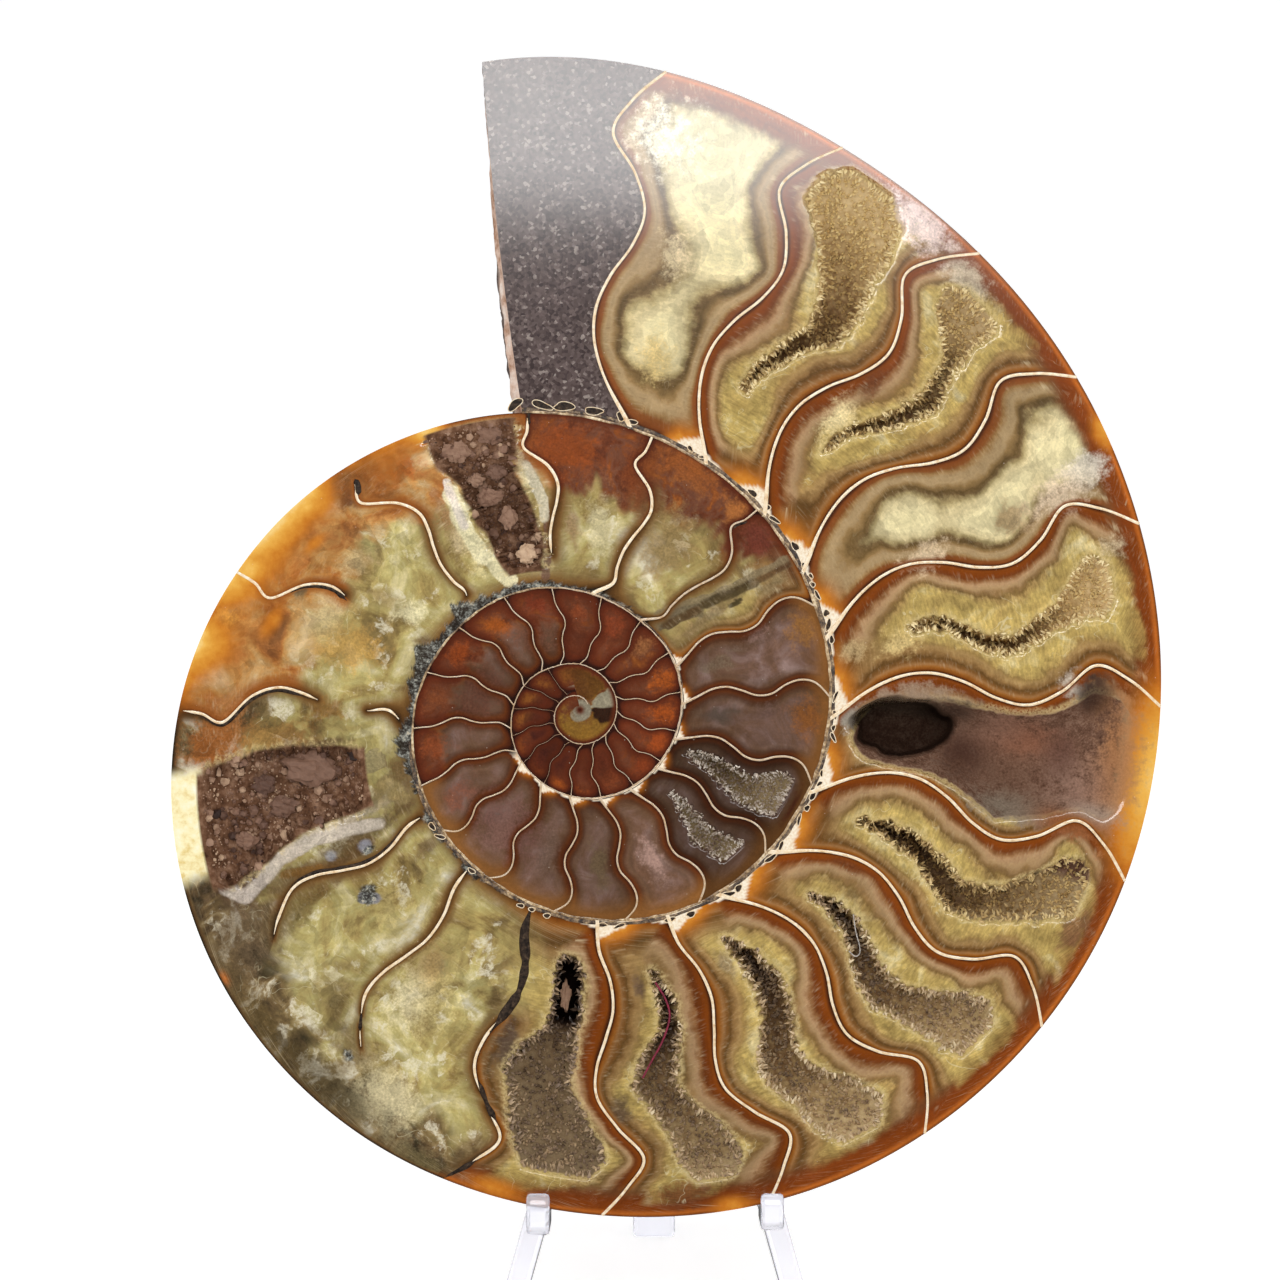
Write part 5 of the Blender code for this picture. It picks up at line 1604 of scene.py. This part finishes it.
def rib_relief(turn, share):
    """0 on the ribs, 1 between them: ribs that swing back and forth on their way out, and growth lines."""
    swing = 9.0 * share - 7.0 * np.sin(np.clip((share - 0.3) / 0.7, 0.0, 1.0) * math.pi) ** 2 * share
    phase = np.radians(turn + swing + 0.8 * noise(turn / 9.0, share * 3.0, 40))
    ribs = 0.5 - 0.5 * np.cos(RIBS_A_TURN * phase)
    lines = 0.5 - 0.5 * np.cos(GROWTH_LINES_A_TURN * phase + 3.0 * noise(turn / 2.0, share * 9.0, 41))
    return 0.8 * ribs + 0.2 * lines


def back_surface(turn, share):
    """Points of the shell's outside, at turn angles of the outermost whorl and shares of its radius.

    The depth is the stone's thickness, less the relief of the ribs where the flank is thick enough.
    """
    angle = slanted(turn, share)
    radius = share * wall_radius(angle)
    depth = thickness(angle, radius)
    strength = smoothstep(0.30, 0.5, share) * smoothstep(1.2, 4.0, depth)
    return angle, radius, depth - RIB_DEPTH * strength * rib_relief(angle, share)


def suture_paths():
    """The sutures on the shell: from each septum's outer end up the flank, lobed at three sizes."""
    paths = []
    for number in range(1, 19):
        start = float(septum_angle(number, 1.0))
        along = np.linspace(0.0, 1.0, 420)
        share = 0.985 - 0.60 * along
        lobes = np.sin(9.5 * math.pi * along + 0.6 * number)
        lobes = np.sign(lobes) * np.abs(lobes) ** 0.6 * (1.1 + 1.8 * (1.0 - along))
        second = np.sin(47.0 * math.pi * along + number) * (0.35 + 0.5 * np.abs(lobes) / 3.0)
        third = 0.22 * np.sin(151.0 * math.pi * along + 2.0 * number)
        fade = smoothstep(0.0, 0.04, along)
        turn = start + fade * (0.75 * lobes + second + third) - 3.0 * along
        share = share + fade * 0.012 * np.cos(47.0 * math.pi * along + number)
        keep = (turn > APERTURE_ANGLE + 1.5) & (turn < APERTURE_ANGLE + 358.0)
        paths.append((turn[keep], share[keep]))
    return paths


# ---------------------------------------------------------------------------------------------------
# Sizes and colours that a user would change
# ---------------------------------------------------------------------------------------------------


class AmmoniteSizes(bpy.types.PropertyGroup):
    """Sizes of the new pieces, in millimetres."""

    face_spacing: FloatProperty(
        name="Face spacing", description="Spacing of the cut face's grid on the outer whorl, in mm",
        default=0.27, min=0.15, max=2.0,
    )
    septum_width: FloatProperty(
        name="Septum width", description="Width of a septum on the cut face, in mm",
        default=0.31, min=0.1, max=1.0,
    )


class AmmoniteStage(bpy.types.PropertyGroup):
    """Camera and light."""

    camera_distance: FloatProperty(
        name="Camera distance", description="From the cut face to the camera, in mm",
        default=720.0, min=200.0, max=3000.0,
    )
    view_width: FloatProperty(
        name="View width", description="Width of the view at the cut face, in mm", default=142.9,
    )
    key_light: FloatProperty(
        name="Key light", description="Power of the soft key light", default=1.25, unit="POWER"
    )
    sky: FloatProperty(name="Sky", description="Strength of the even light from all round", default=0.62)


# ---------------------------------------------------------------------------------------------------
# Operators and the pieces they build
# ---------------------------------------------------------------------------------------------------


class AMMONITE_OT_cut_face(bpy.types.Operator):
    """Builds the polished cut face, in pieces that meet at septa"""

    bl_idname = "ammonite.cut_face"
    bl_label = "Cut Face"

    def execute(self, context):
        make_fibres_group()
        make_flecks_group()
        surface = section_material()
        spacing = context.scene.ammonite_sizes.face_spacing
        for part, first, last, scale, rows in (
            ("upper", 0, 6, 1.0, 132), ("lower", 6, 13, 1.0, 132), ("left", 13, 19, 1.0, 100),
            ("second_whorl", 19, 36, 0.9, 64), ("core", 36, 56, 0.7, 36),
        ):
            build_face_piece("cut_face_" + part, first, last, spacing * scale, rows, surface)
        return {"FINISHED"}


class AMMONITE_OT_stage(bpy.types.Operator):
    """Builds the floor, the lamps, the sky and the camera"""

    bl_idname = "ammonite.stage"
    bl_label = "Stage"

    def execute(self, context):
        scene = context.scene
        stage = scene.ammonite_stage
        scene.view_settings.view_transform = "Standard"
        build_floor()
        build_sky(scene, stage.sky)
        aim = CENTRE + lean_offset(6.7, 0.0, 7.8)
        build_camera(scene, aim, stage.camera_distance, stage.view_width)
        for side, direction, distance, size, part in (
            ("key", (0.0, 12.0), 650.0, (420.0, 90.0), 1.0),
            ("left", (-62.0, 18.0), 600.0, (420.0, 420.0), 0.5),
            ("right", (62.0, 18.0), 600.0, (420.0, 420.0), 0.5),
        ):
            add_lamp(side + "_lamp", aim, direction, distance, size, stage.key_light * part)
        return {"FINISHED"}


class AMMONITE_OT_septa(bpy.types.Operator):
    """Builds the septa as thin cream bars set in the cut face"""

    bl_idname = "ammonite.septa"
    bl_label = "Septa"

    def execute(self, context):
        width = context.scene.ammonite_sizes.septum_width
        for whorl, first, last, tint, thin in (
            ("outer_whorl", 0, 20, 0.0, 1.0), ("second_whorl", 20, 46, 0.42, 0.72),
            ("core", 46, 52, 0.8, 0.5),
        ):
            surface = mottled_material("porcelain", "porcelain_of_" + whorl, tint)
            paths = septum_paths(first, last, width * thin)
            adopt(add_mesh("septa_" + whorl, *bars(paths), surface))
        seams = bars(dark_seam_paths(), top=-0.036)
        adopt(add_mesh("dark_seams", *seams, mottled_material("dark_mud", "dark_seam")))
        return {"FINISHED"}


class AMMONITE_OT_walls(bpy.types.Operator):
    """Builds the spiral wall between the whorls and the chain of rings where it folds"""

    bl_idname = "ammonite.walls"
    bl_label = "Walls"

    def execute(self, context):
        wall = [wall_path(APERTURE_ANGLE + 360.0, 712.0, 0.3, 51)]
        core = [wall_path(711.0, 1494.0, 0.3, 51)]
        folds = [wall_path(349.0, 620.0, 0.42, 52, 0.34), wall_path(716.0, 900.0, 0.2, 53, 0.2)]
        rings, outlines = wall_loops(0.12)
        for name, shape, *surface in (
            ("whorl_wall", bars(wall), "shell_wall"),
            ("core_wall", bars(core, top=-0.026), "porcelain", "tan_porcelain", 0.5),
            ("folded_wall", bars(folds, top=-0.016), "folded_shell"),
            ("wall_rings", bars(rings, -0.05, 0.4, closed=True), "porcelain", "cream_porcelain"),
            ("wall_ring_fillings", discs(outlines), "dark_mud", "dark_filling"),
        ):
            adopt(add_mesh(name, *shape, mottled_material(*surface)))
        return {"FINISHED"}


class AMMONITE_OT_crystals(bpy.types.Operator):
    """Lines the hollows with small pointed crystals"""

    bl_idname = "ammonite.crystals"
    bl_label = "Crystals"

    def execute(self, context):
        random = np.random.default_rng(11)
        for name, hollows, spacing, stops in (
            ("druse_crystals_upper", ("druse_2", "druse_3", "druse_5", "druse_7"), 0.36, DRUSE_TONES),
            ("druse_crystals_lower", ("druse_8", "druse_9", "druse_10", "druse_11"), 0.38, DULL_DRUSE_TONES),
            ("druse_crystals_second_whorl", ("druse_24", "druse_25"), 0.22, SILVER_DRUSE_TONES),
        ):
            surface = crystal_material(name.replace("crystals", "calcite"), stops, 0.4)
            build_druse(name, hollows, spacing, random, surface)
        return {"FINISHED"}


def build_druse(name, hollows, spacing, random, surface):
    """Crystals over the floors of some hollows, and pale teeth that lean in from their rims.

    A dull druse has few teeth round its outer part.
    """
    sets = [(hollow, hollow_points(hollow, spacing, random, 1.12)) for hollow in hollows]
    sets += [(hollow, hollow_points(hollow, 0.75 * spacing, random, 1.3)) for hollow in hollows]
    turn, share = (np.concatenate([pair[index] for _, pair in sets]) for index in range(2))
    dullness = [np.full(pair[0].size, DULLNESS.get(int(hollow[6:]), 0.0)) for hollow, pair in sets]
    dullness = np.concatenate(dullness)
    tooth = np.arange(turn.size) >= sum(pair[0].size for _, pair in sets[:len(hollows)])
    floor = hollow_floor(turn, share)
    rim = 0.26 * (1.0 - smoothstep(0.1, 0.3, dullness) * smoothstep(0.5, 0.75, share))
    grown = np.where(tooth, np.abs(floor["outside"] + 0.12) < rim, floor["outside"] < 0.0)
    grown = grown & (floor["depth"] < 6.2)
    tooth = tooth[grown]
    places, normals, inward, depth, outside = (
        floor[key][grown] for key in ("place", "normal", "inward", "depth", "outside")
    )
    count = len(places)
    lengths = np.linalg.norm(normals, axis=1, keepdims=True)
    at_rim = np.where(tooth, 0.85, smoothstep(-0.9, -0.2, outside))[:, None]
    axes = normals / lengths * (1.0 - 0.75 * at_rim) + inward * at_rim + random.normal(0.0, 0.3, (count, 3))
    size = spacing * random.uniform(0.8, 1.6, count) * np.where(tooth, 0.95, 1.0)
    # Crystals deeper in a hollow are darker: painted shade.
    tone = 1.0 - 0.02 * depth - 0.014 * depth**2 - dullness[grown] + random.normal(0.0, 0.08, count)
    tone = tone + 0.09 * noise(places[:, 0] / 2.2, places[:, 2] / 2.2, 71)
    tone = tone + 0.16 * (dullness[grown] > 0.1) * noise(places[:, 0] / 0.9, places[:, 2] / 0.9, 73)
    template, faces = faceted_spindle(((0.0, -0.5), (0.62, 0.0), (0.5, 0.5), (0.0, 1.2)), 4)
    spin = random.uniform(0.0, 6.28, count)
    width = size * np.where(tooth, 0.48, 0.62)
    points, faces, tones = scatter(template, faces, places, axes, spin, width, size, tone)
    adopt(add_mesh(name, points, faces, surface, smooth=False, attributes={"tone": tones}))


class AMMONITE_OT_rubble(bpy.types.Operator):
    """Fills the two earthy hollows with broken grains and lumps"""

    bl_idname = "ammonite.rubble"
    bl_label = "Rubble"

    def execute(self, context):
        random = np.random.default_rng(23)
        surface = crystal_material("brown_rubble", RUBBLE_TONES, 0.7)
        build_rubble("rubble_left", "rubble_14", 0.42, random, surface)
        build_rubble("rubble_upper", "rubble_17", 0.42, random, surface)
        build_boulders(surface)
        return {"FINISHED"}


def build_rubble(name, hollow, spacing, random, surface):
    """Angular lumps of many sizes over the floor of a hollow, turned at random."""
    turn, share = hollow_points(hollow, spacing, random, 1.05)
    floor = hollow_floor(turn, share)
    laid = floor["outside"] < 0.0
    places, depth = floor["place"][laid], floor["depth"][laid]
    count = len(places)
    size = spacing * (0.3 + 1.7 * random.uniform(0.0, 1.0, count) ** 9.0)
    places[:, 1] -= 0.2 * size
    template, faces = faceted_spindle(((0.0, -0.75), (0.95, -0.2), (0.8, 0.5), (0.0, 0.8)), 5)
    template = template * (1.0 + 0.16 * random.uniform(-1.0, 1.0, (len(template), 1)))
    axes, spin = random.normal(0.0, 1.0, (count, 3)), random.uniform(0.0, 6.28, count)
    width = size * random.uniform(0.6, 1.0, count)
    # Grains deeper in the hollow are darker: painted shade.
    tone = random.normal(0.6, 0.1, count) - 0.03 * depth
    tone = tone + 0.26 * noise(places[:, 0] / 2.4, places[:, 2] / 2.4, 72)
    tone = tone + 0.22 * noise(places[:, 0] / 0.8, places[:, 2] / 0.8, 75)
    points, faces, tones = scatter(template, faces, places, axes, spin, width, size, tone)
    adopt(add_mesh(name, points, faces, surface, smooth=False, attributes={"tone": tones}))


def build_boulders(surface):
    """The few big stones: each a rough ball with flattened sides, made of rings of points."""
    columns, rows = 24, 15
    turns, falls = np.radians(np.arange(columns) * 15.0), np.linspace(0.12, 3.02, rows)
    around, down = np.meshgrid(turns, falls, indexing="ij")
    ring = np.arange(columns) * rows
    faces = [grid_quads(columns, rows, wrap=True), np.stack((ring[::-1], ring + rows - 1))]
    parts = []
    for turn, share, wide, tall, sink, _ in BOULDERS:
        rough = 1.0 + 0.3 * noise(3.0 * np.cos(around) + turn, 2.2 * down, 73)
        rough = rough + 0.16 * noise(9.0 * np.sin(around), 8.0 * down + turn, 74)
        axes = np.stack((np.sin(down) * np.cos(around), np.sin(down) * np.sin(around), np.cos(down)), axis=-1)
        shape = axes * rough[..., None] * np.array((wide, 0.6 * min(wide, tall), tall))
        across, up = flat_place(turn, coil_radius(turn, share))
        place = shape.reshape(-1, 3) + np.array((across, sink, up))
        parts.append((to_world(*place.T), faces))
    tones = np.repeat([row[-1] for row in BOULDERS], columns * rows)
    adopt(add_mesh("boulders", *joined(parts), surface, smooth=False, attributes={"tone": tones}))


class AMMONITE_OT_lint(bpy.types.Operator):
    """Lays the red thread and the white hair that cling to two hollows"""

    bl_idname = "ammonite.lint"
    bl_label = "Lint"

    def execute(self, context):
        for name, half, *ways in STRANDS:
            curve = [through(padded(values), np.linspace(1.0, 6.0, 60)) for values in ways]
            strand = bars([(*curve, np.full(60, half))], top=-0.22, foot=-0.04)
            adopt(add_mesh(name, *strand, mottled_material(name)))
        return {"FINISHED"}


class AMMONITE_OT_shell(bpy.types.Operator):
    """Builds the shell's ribbed outside, its sutures and the broken end"""

    bl_idname = "ammonite.shell"
    bl_label = "Shell"

    def execute(self, context):
        build_back()
        build_sutures()
        build_broken_end()
        return {"FINISHED"}


def build_back():
    """The outside of the shell, as one polar grid from the umbilicus to the edge of the cut face."""
    columns, rows = 521, 110
    turn = np.linspace(APERTURE_ANGLE, APERTURE_ANGLE + 360.0, columns)[:, None]
    share = 1.0 - (1.0 - np.linspace(0.0, 1.0, rows)[None, :]) ** 1.25
    turn, share = np.broadcast_arrays(turn, share)
    angle, radius, depth = back_surface(turn, share)
    points = in_face(angle, radius, depth)
    quads = grid_quads(columns, rows)[:, ::-1]
    attributes = {
        "relief": np.ravel(rib_relief(angle, share)), "inward": np.ravel(smoothstep(0.38, 0.30, share)),
    }
    adopt(add_mesh("shell_outside", points, quads, shell_material(), attributes=attributes))


def build_sutures():
    """Thin raised lines along the sutures, each a flat bar on the shell."""
    half, painted_foot_to_tip_shade = 0.11 * MM, 0.05 * MM
    parts = []
    for turn, share in suture_paths():
        middle = in_face(*back_surface(turn, share))
        ahead = np.gradient(middle, axis=0)
        ahead /= np.linalg.norm(ahead, axis=1, keepdims=True)
        slope = in_face(*back_surface(turn, share - 0.004)) - middle
        normal = np.cross(in_face(*back_surface(turn + 0.3, share)) - middle, slope)
        normal /= np.linalg.norm(normal, axis=1, keepdims=True)
        normal *= np.sign(normal[:, 1:2])
        side = np.cross(normal, ahead)
        corners = ((-1.0, -3.0), (-0.6, 1.0), (0.6, 1.0), (1.0, -3.0))
        sections = [middle + side * half * out + normal * (painted_foot_to_tip_shade * rise) for out, rise in corners]
        parts.append((np.stack(sections, axis=1).reshape(-1, 3), [grid_quads(len(turn), 4)]))
    adopt(add_mesh("sutures", *joined(parts), mottled_material("porcelain", "cream_porcelain")))


def build_broken_end():
    """The broken end of the outer whorl: a rough sheet from the cut face back to the shell."""
    columns, rows = 170, 60
    inner = float(inner_radius(APERTURE_ANGLE))
    turn, radius, high = back_surface(APERTURE_ANGLE, np.linspace(0.12, 1.0, columns)[:, None])
    outer = radius[-1, 0]
    share = outer_share(APERTURE_ANGLE, radius)
    _, _, low = back_surface(APERTURE_ANGLE + 360.0, np.minimum(radius / inner, 1.0))
    low = np.where(radius < inner, low, 0.0)
    part = np.linspace(0.0, 1.0, rows)[None, :]
    depth = low + (high - low) * part
    edge = np.minimum(np.minimum(depth - low, high - depth), (outer - radius) * 0.6 + 0.0 * depth)
    back = high - depth
    rough = 0.22 * noise(radius / 2.6, depth / 1.7, 61) + 0.12 * noise(radius / 0.8, depth / 0.8, 62)
    bulge = (0.85 * smoothstep(0.8, 0.15, share) + rough) * smoothstep(0.0, 1.2, edge)
    swing = np.degrees(bulge / radius)
    turn, radius, depth = np.broadcast_arrays(turn - swing, radius, depth)
    inner_shell = smoothstep(0.75, 0.6, np.abs(share - 0.25) + 0.04 * depth) * smoothstep(3.0, 1.4, depth)
    shell = np.maximum(smoothstep(1.1, 0.6, back), inner_shell)
    points = in_face(turn, radius, depth)
    quads = grid_quads(columns, rows)
    adopt(add_mesh("broken_end", points, quads, broken_end_material(), attributes={"shell": np.ravel(shell)}))


class AMMONITE_OT_stand(bpy.types.Operator):
    """Gives the easel stand its clear acrylic"""

    bl_idname = "ammonite.stand"
    bl_label = "Stand"

    def execute(self, context):
        surface = clear_plastic_material()
        for holder in bpy.data.objects["display_stand"].material_slots:
            holder.material = surface
        return {"FINISHED"}


# ---------------------------------------------------------------------------------------------------
# Stage
# ---------------------------------------------------------------------------------------------------


def lean_offset(across, depth, up):
    """A step in the stone's own frame, in mm, as a world step in mm."""
    return to_world(across, depth, up)[0] / MM - CENTRE


def sight(tree):
    """Whether a ray sees the backdrop straight or through clear plastic, and whether it is a reflection.

    The room in front of the stone is dark, so that its polish keeps its depth of colour.
    """
    path = tree.node("LightPath").outputs
    through_plastic = tree.math("MINIMUM", path["Transmission Depth"], 1.0)
    seen = tree.math("MAXIMUM", path["Is Camera Ray"], through_plastic)
    return seen, (1.0 - through_plastic) * path["Is Glossy Ray"]


def build_floor():
    """A pale round floor under the stand."""
    turn = np.radians(np.arange(96) * 3.75)
    points = np.stack((np.cos(turn) * 4.0, np.sin(turn) * 4.0, np.zeros(96)), axis=-1)
    made, tree, shader = new_material(
        "pale_floor", {"Roughness": 0.9, "Specular IOR Level": 0.1, "Emission Color": (1.0, 1.0, 1.0, 1.0)}
    )
    seen, in_gloss = sight(tree)
    tree.put(shader.inputs["Base Color"], tree.mix(in_gloss, (0.9, 0.9, 0.9, 1.0), (0.15, 0.15, 0.15, 1.0)))
    tree.put(shader.inputs["Emission Strength"], seen * 0.46)
    add_mesh("floor", points, np.arange(96)[None, :], made)


def build_sky(scene, strength):
    """An even sky that lights the object softly and shows as white behind it."""
    world = bpy.data.worlds.new("soft_sky")
    scene.world = world
    world.use_nodes = True
    tree, ground = Tree(world.node_tree), world.node_tree.nodes["Background"]
    seen, in_gloss = sight(tree)
    shown = seen * (1.0 - strength) + strength
    tree.put(ground.inputs["Strength"], shown * (1.0 - in_gloss * 0.88))
    ground.inputs["Color"].default_value = (1.0, 1.0, 1.0, 1.0)


def build_camera(scene, aim, distance, width):
    """A camera square to the leaning cut face."""
    data = bpy.data.cameras.new("camera")
    data.sensor_width = 36.0
    data.lens = data.sensor_width * distance / width
    data.clip_start, data.clip_end = 0.01, 20.0
    camera = bpy.data.objects.new("camera", data)
    scene.collection.objects.link(camera)
    place = (aim + lean_offset(0.0, -distance, 0.0)) * MM
    camera.location = place
    camera.rotation_euler = (math.pi / 2.0 - LEAN, 0.0, 0.0)
    scene.camera = camera


def add_lamp(name, aim, direction, distance, size, power):
    """A soft rectangular lamp, at angles to the right of and above the cut face's own axis."""
    across, up = (math.radians(angle) for angle in direction)
    away = (math.sin(across) * math.cos(up), -math.cos(across) * math.cos(up), math.sin(up))
    place = Vector((aim + lean_offset(*(part * distance for part in away))) * MM)
    data = bpy.data.lights.new(name, "AREA")
    data.shape = "RECTANGLE"
    data.size, data.size_y = (length * MM for length in size)
    data.energy = power
    lamp = bpy.data.objects.new(name, data)
    bpy.context.scene.collection.objects.link(lamp)
    lamp.location = place
    lamp.rotation_euler = (Vector(aim * MM) - place).to_track_quat("-Z", "Y").to_euler()


class AMMONITE_PT_panel(bpy.types.Panel):
    """Lists the operators in the order they run"""

    bl_label = "Ammonite"
    bl_space_type = "VIEW_3D"
    bl_region_type = "UI"
    bl_category = "Ammonite"

    def draw(self, context):
        for operator in OPERATORS:
            self.layout.operator(operator.bl_idname)


OPERATORS = (
    AMMONITE_OT_cut_face, AMMONITE_OT_septa, AMMONITE_OT_walls, AMMONITE_OT_crystals, AMMONITE_OT_rubble,
    AMMONITE_OT_lint, AMMONITE_OT_shell, AMMONITE_OT_stand, AMMONITE_OT_stage,
)
CLASSES = (AmmoniteSizes, AmmoniteStage, *OPERATORS, AMMONITE_PT_panel)


def register():
    for made in CLASSES:
        bpy.utils.register_class(made)
    bpy.types.Scene.ammonite_sizes = PointerProperty(type=AmmoniteSizes)
    bpy.types.Scene.ammonite_stage = PointerProperty(type=AmmoniteStage)


def unregister():
    del bpy.types.Scene.ammonite_stage
    del bpy.types.Scene.ammonite_sizes
    for made in reversed(CLASSES):
        bpy.utils.unregister_class(made)


def main():
    """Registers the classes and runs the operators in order."""
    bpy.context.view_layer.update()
    register()
    for operator in OPERATORS:
        group, name = operator.bl_idname.split(".")
        getattr(getattr(bpy.ops, group), name)()


if __name__ == "__main__":
    main()
